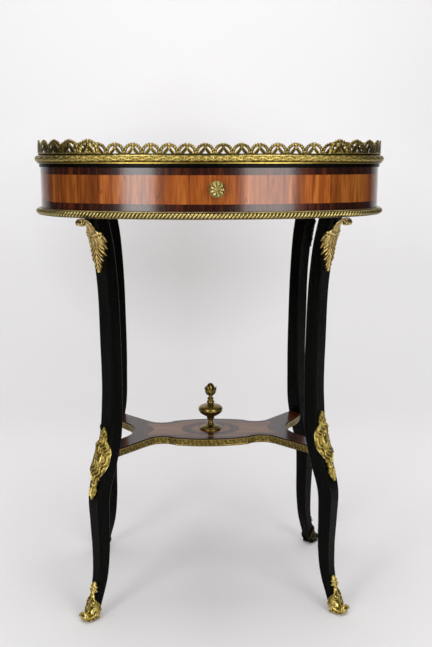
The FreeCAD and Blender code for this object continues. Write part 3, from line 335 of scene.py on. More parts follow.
@dataclass(frozen=True)
class Bar:
    """The section of a cast bar.

    Attributes:
        sides: Points round the section.
        flutes: Ridges across the section's depth.
        flute_depth: Their depth as a share of the bar's width.
        blunt: 1 for an oval, under 1 for a squarer section.
        lobes: Leaf lobes along the bar, cut at a slant.
        lobe_cut: Their depth as a share of the bar's width.
        lobe_lean: How far they lag at the bar's edges, in radians of a lobe.
        lobe_shade: How much darker a cut is than the rest.
    """

    sides: int
    flutes: int = 0
    flute_depth: float = 0.0
    blunt: float = 1.0
    lobes: int = 0
    lobe_cut: float = 0.14
    lobe_lean: float = 2.4
    lobe_shade: float = 0.62


def sweep(path: Array, wide: Array | float, deep: Array | float, bar: Bar) -> Surface:
    """Carries a bar's section along a flat path.

    A point is path + normal * wide / 2 * c + across * deep / 2 * s, with c and s the
    cosine and sine of its turn, squared off by the power blunt.

    Args:
        path: Points (n, 2) in the plane of the first and third axis.
        wide: The section's width in that plane, one for each point or one for all.
        deep: The section's width across that plane, along the second axis.
        bar: The section.

    Returns:
        A closed surface.
    """
    path = np.asarray(path, float)
    wide, deep = np.broadcast_to(wide, len(path)), np.broadcast_to(deep, len(path))
    tangent = np.gradient(path, axis=0)
    tangent /= np.linalg.norm(tangent, axis=1)[:, None] + 1e-12
    normal = np.stack([-tangent[:, 1], tangent[:, 0]], axis=1)
    turn = np.linspace(0, 2 * np.pi, bar.sides, endpoint=False)
    c = np.sign(np.cos(turn)) * np.abs(np.cos(turn)) ** bar.blunt
    s = np.sign(np.sin(turn)) * np.abs(np.sin(turn)) ** bar.blunt
    ripple = np.cos(bar.flutes * np.pi * s) if bar.flutes else np.zeros_like(s)
    along = np.linspace(0, 1, len(path))[:, None]
    slant = 2 * np.pi * bar.lobes * along + bar.lobe_lean * np.abs(c)
    cut = 0.5 - 0.5 * np.cos(slant) if bar.lobes else np.zeros((len(path), bar.sides))
    reach = (1 + bar.flute_depth * (ripple - 1)) * (1 - bar.lobe_cut * cut)
    flat = path[:, None, :] + normal[:, None, :] * (wide[:, None] / 2 * (c * reach))[..., None]
    across = np.broadcast_to(deep[:, None] / 2 * s[None, :], reach.shape)
    loops = np.stack([flat[..., 0], across, flat[..., 1]], axis=-1)
    relief = (0.55 + 0.35 * ripple + 0.1 * np.abs(c)) * (1 - bar.lobe_shade * cut)
    return loft(loops, relief)


def lathe(profile: Array, sides: int, shape: Pattern, lift: Pattern | None = None) -> Surface:
    """Turns a profile about the third axis, with chasing worked into it.

    A point at share t of the profile and at turn a lies at radius r(t) * shape(t, a) and
    at level z(t) + lift(t, a).

    Args:
        profile: Points (n, 2) of radius and level, from the lower end to the upper.
        sides: Points round.
        shape: A factor on the radius.
        lift: A length added to the level.

    Returns:
        A closed surface.
    """
    share = np.linspace(0, 1, len(profile))[:, None]
    turn = np.linspace(0, 2 * np.pi, sides, endpoint=False)[None, :]
    factor = shape(share, turn)
    rise = lift(share, turn) if lift else np.zeros((len(profile), sides))
    radius = profile[:, :1] * factor
    loops = np.stack(
        [radius * np.cos(turn), radius * np.sin(turn), profile[:, 1:] + rise], axis=-1
    )
    low, high = factor.min(), factor.max()
    return loft(loops, 0.25 + 0.75 * ((factor - low) / (high - low)))


def rounded(profile: Sequence[Sequence[float]], steps: int) -> Array:
    """Returns a profile with more points, on the smooth curve through the given ones.

    Args:
        profile: Pairs of radius and level.
        steps: New points for each given one.

    Returns:
        Points (n, 2), evenly spaced along the profile.
    """
    rows = np.asarray(profile, float)
    run = np.concatenate([[0], np.cumsum(np.hypot(*np.diff(rows, axis=0).T))])
    at = np.linspace(0, run[-1], steps * len(rows))
    return np.stack([smooth_through(run, rows[:, 0], at), smooth_through(run, rows[:, 1], at)], 1)


# The oval and the legs' corners


@dataclass(frozen=True)
class Oval:
    """The outline of the upper parts: two end arcs and two side arcs, meeting smoothly."""

    half_width: float = 0.286
    half_depth: float = 0.182
    arc_centre: float = 0.141

    @property
    def end_radius(self) -> float:
        """The radius of the end arcs."""
        return self.half_width - self.arc_centre

    @property
    def side_centre(self) -> float:
        """How far behind the middle a side arc has its centre."""
        rest = self.half_depth - self.end_radius
        return (self.arc_centre**2 - rest**2) / (2 * rest)

    @property
    def side_radius(self) -> float:
        """The radius of the side arcs."""
        return self.end_radius + math.hypot(self.arc_centre, self.side_centre)

    def breaks(self, offset: float) -> tuple[Array, Array]:
        """Returns where the arcs meet, from mid front once round.

        Args:
            offset: How far outside the frieze the outline runs.

        Returns:
            The outward directions there, as angles, and the lengths up to them.
        """
        end = math.atan2(self.side_centre, self.arc_centre)
        turns = np.array([-np.pi / 2, -end, end, np.pi - end, np.pi + end, 3 * np.pi / 2])
        radii = np.array([self.side_radius, self.end_radius] * 2 + [self.side_radius]) + offset
        return turns, np.concatenate([[0], np.cumsum(np.diff(turns) * radii)])

    def length(self, offset: float = 0.0) -> float:
        """Returns the length once round."""
        return float(self.breaks(offset)[1][-1])

    def walk(self, distance: Array, offset: float = 0.0) -> tuple[Array, Array]:
        """Returns points of the offset oval and their outward directions.

        Each outward direction has one point: the centre of its arc plus the arc's radius
        in that direction.

        Args:
            distance: Lengths from mid front towards the right end.
            offset: How far outside the frieze the outline runs.

        Returns:
            Points and directions, each shaped (n, 2).
        """
        turns, lengths = self.breaks(offset)
        turn = np.interp(np.mod(distance, lengths[-1]), lengths, turns)
        outward = np.stack([np.cos(turn), np.sin(turn)], axis=-1)
        end = turns[2]
        right, left = np.abs(turn) <= end, np.abs(turn - np.pi) <= end
        back = (turn > end) & (turn < np.pi - end)
        x = np.where(right, self.arc_centre, np.where(left, -self.arc_centre, 0.0))
        y = np.where(right | left, 0.0, np.where(back, -self.side_centre, self.side_centre))
        radius = np.where(right | left, self.end_radius, self.side_radius) + offset
        return np.stack([x, y], axis=-1) + outward * radius[..., None], outward


OVAL = Oval()


class Corner(Enum):
    """The four corners, as signs of x and y."""

    FRONT_RIGHT = (1, -1)
    FRONT_LEFT = (-1, -1)
    REAR_RIGHT = (1, 1)
    REAR_LEFT = (-1, 1)

    @property
    def label(self) -> str:
        """The corner's word in a node's name."""
        return self.name.lower()


@dataclass(frozen=True)
class LegForm:
    """The course and section of one cabriole leg, in the leg's own upright plane."""

    height: float = 0.669
    sweep: float = 0.061
    width: float = 0.027
    anchor: tuple[float, float] = (0.166, 0.101)
    stations: tuple[Triple, ...] = (
        (0.0, 1.02, 0.70), (0.042, 0.83, 0.68), (0.09, 0.66, 0.73), (0.165, 0.58, 0.84),
        (0.245, 0.60, 0.93), (0.318, 0.59, 1.03), (0.385, 0.37, 1.11), (0.450, 0.16, 1.06),
        (0.550, 0.065, 0.98), (0.700, 0.075, 0.98), (0.868, 0.17, 0.98), (0.93, 0.27, 1.02),
        (1.0, 0.48, 1.10),
    )
    power: float = 6.0
    steps: int = 2881

    def course(self, level: Array) -> tuple[Array, Array]:
        """Returns the leg's course, smooth through its stations.

        A station gives a share of the height with its shares of sweep and width.

        Args:
            level: The levels at which it is wanted.

        Returns:
            The reach of the leg's middle and half its width at each level.
        """
        rows = np.array(self.stations)
        share = level / self.height
        reach = smooth_through(rows[:, 0], rows[:, 1], share) * self.sweep
        return reach, smooth_through(rows[:, 0], rows[:, 2], share) * self.width / 2

    def unit_section(self, around: Array) -> tuple[Array, Array]:
        """Returns points and normals of the section |x|^power + |y|^power = 1.

        Args:
            around: Lengths along it from the middle of the outer face, about 8 in all.

        Returns:
            Points and outward directions, each with x and y on a last axis.
        """
        turn = np.linspace(-np.pi, np.pi, self.steps)
        c, s = np.cos(turn), np.sin(turn)
        radius = (np.abs(c) ** self.power + np.abs(s) ** self.power) ** (-1 / self.power)
        x, y = radius * c, radius * s
        run = np.concatenate([[0], np.cumsum(np.hypot(np.diff(x), np.diff(y)))])
        run -= run[-1] / 2
        normal = np.stack([np.gradient(y), -np.gradient(x)], axis=-1)
        normal /= np.linalg.norm(normal, axis=1)[:, None]
        parts = [np.interp(around, run, row) for row in (x, y, normal[:, 0], normal[:, 1])]
        return np.stack(parts[:2], axis=-1), np.stack(parts[2:], axis=-1)

    def skin(self, around: Array, level: Array, lift: Array) -> Array:
        """Returns points on or over the leg's surface, in the leg's own frame.

        Args:
            around: Lengths round the section in half widths, (rows, columns).
            level: One level for each row.
            lift: How far out of the surface each point lies.

        Returns:
            Points shaped (rows, columns, 3).
        """
        reach, half = self.course(level)
        spot, normal = self.unit_section(around)
        flat = spot * half[:, None, None] + normal * lift[..., None]
        flat[..., 0] += reach[:, None]
        upright = np.broadcast_to(level[:, None], flat.shape[:2])
        return np.concatenate([flat, upright[..., None]], axis=-1)

    def stand(self, surface: Surface, corner: Corner) -> Surface:
        """Returns a surface of the leg's own frame, stood at one corner of the table.

        Args:
            surface: The surface, its first axis towards the corner.
            corner: The corner.

        Returns:
            The same surface in the table's frame.
        """
        side_x, side_y = corner.value

        def move(points: Array) -> Array:
            """Returns points turned to the diagonal and moved to the leg's anchor.

            Args:
                points: Points of a leg that stands on the origin.

            Returns:
                The points in the table's frame.
            """
            out = self.anchor[0] + DIAGONAL * (points[:, 0] + points[:, 1])
            back = self.anchor[1] + DIAGONAL * (points[:, 0] - points[:, 1])
            return np.stack([side_x * out, side_y * back, points[:, 2]], axis=1)

        return surface.moved(move)


LEG = LegForm()


# Finishes


class Grain(Enum):
    """Which way a veneer's figure is laid."""

    AROUND = "upright on the frieze"
    ALONG = "lengthways"
    ACROSS = "from front to back"


class Value:
    """A value or colour in a material; each sign between two values adds a Math node."""

    def __init__(self, shader: "Shader", socket: bpy.types.NodeSocket) -> None:
        """Keeps the material and the socket that gives the value."""
        self.shader = shader
        self.socket = socket

    def __add__(self, other: "Value | float") -> "Value":
        """Returns the sum."""
        return self.shader.math("ADD", self, other)

    def __sub__(self, other: "Value | float") -> "Value":
        """Returns the difference."""
        return self.shader.math("SUBTRACT", self, other)

    def __rsub__(self, other: float) -> "Value":
        """Returns a number less this value."""
        return self.shader.math("SUBTRACT", other, self)

    def __mul__(self, other: "Value | float") -> "Value":
        """Returns the product."""
        return self.shader.math("MULTIPLY", self, other)

    def __truediv__(self, other: "Value | float") -> "Value":
        """Returns the quotient."""
        return self.shader.math("DIVIDE", self, other)

    def __pow__(self, other: float) -> "Value":
        """Returns the power."""
        return self.shader.math("POWER", self, other)

    def __abs__(self) -> "Value":
        """Returns the value without its sign."""
        return self.shader.math("ABSOLUTE", self, 0.0)


class Shader:
    """A node material in the making."""

    def __init__(self, name: str) -> None:
        """Starts a material with only its output and its surface shader.

        Args:
            name: The material's name.
        """
        self.material = bpy.data.materials.new(name)
        self.material.use_nodes = True
        self.tree = self.material.node_tree
        self.surface = self.tree.nodes["Principled BSDF"]

    def set(self, **values: float | tuple[float, ...]) -> None:
        """Sets constants on the surface shader's own sockets, named with _ for a space."""
        for name, value in values.items():
            self.surface.inputs[name.replace("_", " ")].default_value = value

    def node(self, kind: str, settings: dict[str, str] | None = None,
             **inputs: Value | float) -> bpy.types.bpy_prop_collection:
        """Adds a node.

        Args:
            kind: The node's type without the word ShaderNode.
            settings: Its own properties.
            inputs: Its sockets by name, or by number after a _, each a value or a constant.

        Returns:
            The node's outputs.
        """
        made = self.tree.nodes.new("ShaderNode" + kind)
        for key, value in (settings or {}).items():
            setattr(made, key, value)
        for key, value in inputs.items():
            number = key[1:]
            socket = made.inputs[int(number) if number.isdigit() else key]
            if isinstance(value, Value):
                self.tree.links.new(value.socket, socket)
            else:
                socket.default_value = value
        return made.outputs

    def math(self, operation: str, first: Value | float, second: Value | float) -> Value:
        """Adds a Math node and returns its result."""
        return Value(self, self.node("Math", {"operation": operation}, _0=first, _1=second)[0])

    def ramp(self, value: Value, *stops: tuple[float, Triple]) -> Value:
        """Adds a colour ramp.

        Args:
            value: The place on the ramp.
            stops: Places on it with their colours.

        Returns:
            The colour.
        """
        made = self.tree.nodes.new("ShaderNodeValToRGB")
        self.tree.links.new(value.socket, made.inputs["Fac"])
        elements = made.color_ramp.elements
        while len(elements) < len(stops):
            elements.new(0.5)
        for element, (place, colour) in zip(elements, stops):
            element.position = place
            element.color = (*colour, 1.0)
        return Value(self, made.outputs["Color"])

    def noise(self, vector: Value, scale: float, detail: float,
              distortion: float = 0.0) -> Value:
        """Adds a noise texture.

        Args:
            vector: The place in it.
            scale: Its fineness, in features to a metre.
            detail: How many finer noises are added.
            distortion: How much it is stirred.

        Returns:
            The noise, mostly between 0.3 and 0.7.
        """
        return Value(self, self.node("TexNoise", Vector=vector, Scale=scale, Detail=detail,
                                     Distortion=distortion)["Fac"])

    def multiply(self, share: float, first: Value, second: Value) -> Value:
        """Returns the first colour, darkened by a share of the second."""
        return Value(self, self.node("Mix", {"data_type": "RGBA", "blend_type": "MULTIPLY"},
                                     _0=share, _6=first, _7=second)[2])

    def feed(self, name: str, value: Value) -> None:
        """Links a value to one of the surface shader's sockets."""
        self.tree.links.new(value.socket, self.surface.inputs[name])

    def raise_by(self, height: Value, distance: float, strength: float) -> None:
        """Feeds the surface's normal from a height."""
        bump = self.node("Bump", Height=height, Distance=distance, Strength=strength)
        self.feed("Normal", Value(self, bump["Normal"]))

    def place(self) -> Value:
        """Returns the point on the object in its own coordinates."""
        return Value(self, self.node("TexCoord")["Object"])

    def axes(self) -> list[Value]:
        """Returns the three coordinates of the point on the object."""
        return [Value(self, socket) for socket in self.node("SeparateXYZ", Vector=self.place())]

    def point(self, x: Value, y: Value, z: Value | float) -> Value:
        """Returns the point that has three coordinates."""
        return Value(self, self.node("CombineXYZ", X=x, Y=y, Z=z)[0])


WHITE = (1.0, 1.0, 1.0)


@dataclass(frozen=True)
class Finish:
    """A procedural material."""

    name: str

    def paint(self, shader: Shader) -> None:
        """Adds the material's own nodes."""
        raise NotImplementedError

    def build(self) -> bpy.types.Material:
        """Makes the material with the nodes that paint adds.

        Returns:
            The material.
        """
        shader = Shader(self.name)
        self.paint(shader)
        return shader.material


@dataclass(frozen=True)
class Veneer(Finish):
    """A figured veneer under French polish.

    Attributes:
        dark: The colour of the dark figure.
        middle: The colour between.
        light: The colour of the light figure.
        grain: Which way the figure is laid.
        stripes: The fineness of its stripes; bands are coarser and threads finer.
        seed: Which part of the noise is cut out.
        coat: The weight of the polish.
    """

    dark: Triple
    middle: Triple
    light: Triple
    grain: Grain
    stripes: float = 70.0
    seed: float = 0.0
    coat: float = 1.0
    bands: float = 14.0
    threads: float = 230.0
    veins: float = 48.0
    pores: float = 520.0
    vein_colour: Triple = (0.34, 0.26, 0.22)
    pore_colour: Triple = (0.72, 0.68, 0.66)
    roughness: float = 0.38
    stretch: float = 0.06
    mean_radius: float = 0.24

    def figure(self, shader: Shader) -> Value:
        """Returns the point as (across the grain, along it, seed), in metres.

        Round the frieze the way across is 0.24 m times the angle that atan2 gives of y and
        x as shares of the oval's half axes, which is near the length round it.

        Args:
            shader: The material in the making.

        Returns:
            The point at which its noises are read.
        """
        x, y, z = shader.axes()
        if self.grain is Grain.AROUND:
            turn = shader.math("ARCTAN2", y / OVAL.half_depth, x / OVAL.half_width)
            across, along = turn * self.mean_radius, z
        elif self.grain is Grain.ALONG:
            across, along = y, x
        else:
            across, along = x, y
        return shader.point(across, along * self.stretch, self.seed)

    def paint(self, shader: Shader) -> None:
        """Adds the figure, the pores and the polish.

        The colour follows bands, stripes and threads, three noises stretched along the
        grain; a vein runs where a fourth one is 0.5, and a fifth gives the pores.

        Args:
            shader: The material in the making.
        """
        point = self.figure(shader)
        bands = shader.noise(point, self.bands, 2.0, 0.3)
        threads = shader.noise(point, self.threads, 2.0, 0.8)
        stripes = shader.noise(point, self.stripes, 3.0, 0.6)
        pores = shader.noise(point, self.pores, 2.0)
        value = bands * 0.35 + (stripes * 0.4 + threads * 0.25)
        colour = shader.ramp(value, (0.37, self.dark), (0.5, self.middle), (0.62, self.light))
        veins = abs(shader.noise(point, self.veins, 1.0, 0.8) - 0.5)
        drawn = shader.ramp(veins, (0.0, self.vein_colour), (0.011, WHITE))
        fine = shader.ramp(pores, (0.35, self.pore_colour), (0.55, WHITE))
        shader.feed("Base Color", shader.multiply(0.7, shader.multiply(0.75, colour, drawn), fine))
        shader.set(Roughness=self.roughness, Coat_Weight=self.coat, Coat_Roughness=0.16,
                   Specular_IOR_Level=0.05)
        shader.raise_by(shader.noise(point, 26.0, 2.0) + pores * 0.012, 0.0016, 0.3)


@dataclass(frozen=True)
class Ebonised(Finish):
    """Black stained wood, polished, with a trace of brushing."""

    name: str = "ebonised_polish"
    colour: Triple = (0.0010, 0.0010, 0.0008)
    warmth: float = 2.6

    def paint(self, shader: Shader) -> None:
        """Adds brushed streaks along the leg and an uneven polish.

        Args:
            shader: The material in the making.
        """
        x, y, z = shader.axes()
        streaks = shader.noise(shader.point(x, y, z * 0.05), 160.0, 4.0)
        warm = tuple(channel * self.warmth for channel in self.colour)
        shader.feed("Base Color", shader.ramp(streaks, (0.35, self.colour), (0.75, warm)))
        shader.feed("Roughness", shader.noise(shader.place(), 35.0, 3.0) * 0.16 + 0.2)
        shader.set(Specular_IOR_Level=0.045)
        shader.raise_by(streaks, 0.0002, 0.25)


@dataclass(frozen=True)
class Gilding(Finish):
    """Cast brass with worn gilding: dark in the hollows, bright on the heights."""

    hollow: Triple = (0.034, 0.025, 0.005)
    middle: Triple = (0.29, 0.208, 0.042)
    height: Triple = (0.74, 0.60, 0.21)
    roughness: float = 0.26
    tarnish: Triple = (0.74, 0.70, 0.60)
    polish: float = 0.16

    def paint(self, shader: Shader) -> None:
        """Adds colour by the relief attribute and a fine noise, and tarnish in spots.

        Args:
            shader: The material in the making.
        """
        mottle = shader.noise(shader.place(), 240.0, 5.0)
        spots = shader.noise(shader.place(), 46.0, 3.0)
        relief = Value(shader, shader.node("Attribute", {"attribute_name": "relief"})["Fac"])
        colour = shader.ramp(relief + (mottle - 0.5) * 0.34,
                             (0.12, self.hollow), (0.5, self.middle), (0.92, self.height))
        tarnish = shader.ramp(spots, (0.3, self.tarnish), (0.62, WHITE))
        shader.feed("Base Color", shader.multiply(0.8, colour, tarnish))
        shader.feed("Roughness", self.roughness + self.polish - relief * self.polish)
        shader.set(Metallic=1.0)
        shader.raise_by(mottle, 0.0005, 0.4)


@dataclass(frozen=True)
class PlainWood(Finish):
    """Planed secondary wood of the hidden parts."""

    name: str = "planed_oak"
    dark: Triple = (0.20, 0.115, 0.055)
    light: Triple = (0.42, 0.27, 0.14)

    def paint(self, shader: Shader) -> None:
        """Adds long fibres with darker pores.

        Args:
            shader: The material in the making.
        """
        x, y, z = shader.axes()
        fibres = shader.noise(shader.point(x * 0.06, y, z), 130.0, 6.0, 0.4)
        shader.feed("Base Color", shader.ramp(fibres, (0.3, self.dark), (0.7, self.light)))
        shader.set(Roughness=0.62)
        shader.raise_by(fibres, 0.0004, 0.4)


@dataclass(frozen=True)
class Steel(Finish):
    """Plain drawn steel of the hidden fixings."""

    name: str = "plain_steel"
    dark: Triple = (0.25, 0.25, 0.26)
    light: Triple = (0.5, 0.5, 0.51)

    def paint(self, shader: Shader) -> None:
        """Adds fine marks of drawing.

        Args:
            shader: The material in the making.
        """
        marks = shader.noise(shader.place(), 300.0, 4.0)
        shader.feed("Base Color", shader.ramp(marks, (0.3, self.dark), (0.7, self.light)))
        shader.set(Metallic=1.0, Roughness=0.42)
        shader.raise_by(marks, 0.0002, 0.3)


@dataclass(frozen=True)
class Paper(Finish):
    """The studio's paper: painted light makes it paler up the wall and to the sides, and a painted
    shadow of the table is a soft darker oval.

    Attributes:
        stops: Its colours by lightness.
        base: Its lightness on the floor.
        horizon: The level from which the painted light makes it paler.
        upward: How much paler the painted light makes it with each metre up.
        sideward: How much paler the painted light makes it with each metre to a side.
        mottle: How much its lightness wanders.
        shadow_level: The middle of the painted shadow, an oval behind the legs.
        shadow_half: The painted shadow's half width and half height.
        shadow_depth: How much darker the painted shadow is at its middle.
    """

    name: str = "studio_paper"
    stops: tuple[tuple[float, Triple], ...] = (
        (0.05, (0.52, 0.505, 0.50)), (0.38, (0.70, 0.688, 0.69)), (0.56, (0.78, 0.768, 0.775)),
        (0.92, (0.92, 0.91, 0.917)))
    base: float = 0.35
    horizon: float = 0.35
    upward: float = 0.66
    sideward: float = 0.33
    mottle: float = 0.06
    shadow_level: float = 0.5
    shadow_half: tuple[float, float] = (0.6, 0.42)
    shadow_depth: float = -0.3

    def paint(self, shader: Shader) -> None:
        """Adds the paper's painted light and painted shadow.

        Args:
            shader: The material in the making.
        """
        x, _, z = shader.axes()
        # Painted light: rise and abs(x) * sideward make the paper paler up the wall and to the sides.
        rise = shader.math("MAXIMUM", (z - self.horizon) * self.upward, 0.0)
        mottle = shader.noise(shader.place(), 1.4, 2.0) * self.mottle
        # Painted shadow of the table: a soft darker oval on the wall behind the legs, under the top.
        wide, high = self.shadow_half
        near = 1.0 - ((x / wide) ** 2.0 + ((z - self.shadow_level) / high) ** 2.0)
        painted_shadow = shader.math("MAXIMUM", near, 0.0) * self.shadow_depth
        light = (rise + abs(x) * self.sideward) + (mottle + self.base)
        shader.feed("Base Color", shader.ramp(light + painted_shadow, *self.stops))
        shader.set(Roughness=0.85, Specular_IOR_Level=0.1)


TULIP = ((0.115, 0.025, 0.0025), (0.27, 0.064, 0.007), (0.44, 0.145, 0.026))
RIPE = ((0.090, 0.021, 0.002), (0.165, 0.039, 0.0035), (0.30, 0.098, 0.014))
KING = ((0.006, 0.001, 0.0002), (0.024, 0.0035, 0.0004), (0.085, 0.018, 0.003))
FADED = ((0.055, 0.018, 0.006), (0.16, 0.060, 0.022), (0.25, 0.110, 0.045))


@dataclass
class Palette:
    """All finishes of the table, each built once."""

    made: dict[str, bpy.types.Material] = field(default_factory=dict)

    def __post_init__(self) -> None:
        """Builds every finish."""
        finishes = (
            Veneer("tulipwood_frieze", *RIPE, Grain.AROUND, seed=0.61),
            Veneer("tulipwood_drawer", *TULIP, Grain.AROUND, seed=0.37),
            Veneer("tulipwood_flat", *FADED, Grain.ALONG, 90.0, 0.6, 0.5),
            Veneer("tulipwood_core", *FADED, Grain.ACROSS, 90.0, 0.9, 0.5),
            Veneer("kingwood_frieze", *KING, Grain.AROUND, 120.0, 0.2),
            Veneer("kingwood_flat", *KING, Grain.ACROSS, 120.0, 0.5, 0.5),
            Ebonised(),
            Gilding("gilt_cast"),
            Gilding("gilt_aged", (0.024, 0.017, 0.004), (0.20, 0.15, 0.038), (0.60, 0.50, 0.20)),
            Gilding("gilt_rail", (0.024, 0.017, 0.004), (0.20, 0.142, 0.034), (0.64, 0.51, 0.19)),
            # A darker copy of the brass for the urn: painted shade where the top shades the undertier.
            Gilding("gilt_shaded_urn", (0.016, 0.011, 0.002), (0.10, 0.070, 0.014), (0.38, 0.29, 0.09)),
            Gilding("gilt_warm", (0.026, 0.016, 0.004), (0.19, 0.122, 0.026), (0.72, 0.55, 0.23)),
            # A darker copy of the brass for the shelf's edge: painted shade where the top shades the
            # undertier.
            Gilding("gilt_shaded_edge", (0.010, 0.007, 0.001), (0.066, 0.044, 0.008), (0.27, 0.20, 0.06)),
            Gilding("gilt_black", (0.003, 0.002, 0.001), (0.012, 0.009, 0.004),
                    (0.060, 0.045, 0.020), 0.36),
            PlainWood(),
            Steel(),
        )
        for finish in finishes:
            self.made[finish.name] = finish.build()

    def dress(self, finish: str, *things: bpy.types.Object) -> None:
        """Gives objects one finish as their only material.

        Args:
            finish: The finish.
            *things: The objects.
        """
        for thing in things:
            thing.data.materials.clear()
            thing.data.materials.append(self.made[finish])

    def cast(self, finish: str, surface: Surface, name: str, nodes: Sequence[str],
             body: str = "table", smooth: float = SMOOTH_ANGLE) -> None:
        """Makes a brass piece.

        Args:
            finish: Its finish.
            surface: Its shape.
            name: Its name.
            nodes: The CAD nodes that it stands for.
            body: The CAD body that it moves with.
            smooth: The angle in degrees under which two faces are shaded as one.
        """
        self.dress(finish, surface.piece(name, body, "gilt_brass", nodes, smooth))


# Sub-assemblies


@dataclass
class Solids:
    """The pieces that keep their CAD solids, by finish."""

    finishes: dict[str, tuple[str, ...]] = field(default_factory=lambda: {
        "ebonised_polish": ("top_board", "shelf_board"),
        "kingwood_flat": ("top_border_veneer", "shelf_border_veneer", "shelf_medallion_ring"),
        "tulipwood_flat": ("top_field_veneer", "shelf_field_veneer"),
        "tulipwood_core": ("shelf_medallion_core",),
        "tulipwood_frieze": ("frieze_field_veneers",),
        "tulipwood_drawer": ("drawer_field_veneer",),
        "kingwood_frieze": ("frieze_band_veneers", "drawer_band_veneers"),
        "planed_oak": (
            "base_board", "frieze_right", "frieze_left", "frieze_back", "drawer_runners",
            "drawer_kickers", "drawer_guides", "drawer_stops", "glue_blocks", "shelf_tenons",
            "drawer_front", "drawer_side_right", "drawer_side_left", "drawer_back",
            "drawer_bottom"),
        "plain_steel": ("leg_bolts", "finial_rod", "drawer_knob_screw"),
    })

    def build(self, palette: Palette) -> None:
        """Gives the solids their finishes.

        Args:
            palette: The finishes.
        """
        for finish, labels in self.finishes.items():
            palette.dress(finish, *(frame["nodes"][label] for label in labels))
            log.info("%s on the solids %s", finish, ", ".join(labels))


@dataclass(frozen=True)
class RingForm:
    """The size and fineness of a moulding round the oval.

    Attributes:
        level: The underside.
        height: The whole height.
        belly: The belly's share of the height.
        columns: Sections round the oval.
        rows: Points up the belly.
        line: The height of a sunk line along the top, painted dark as shade in the gap.
    """

    level: float
    height: float
    belly: float
    columns: int
    rows: int
    line: float = 0.0


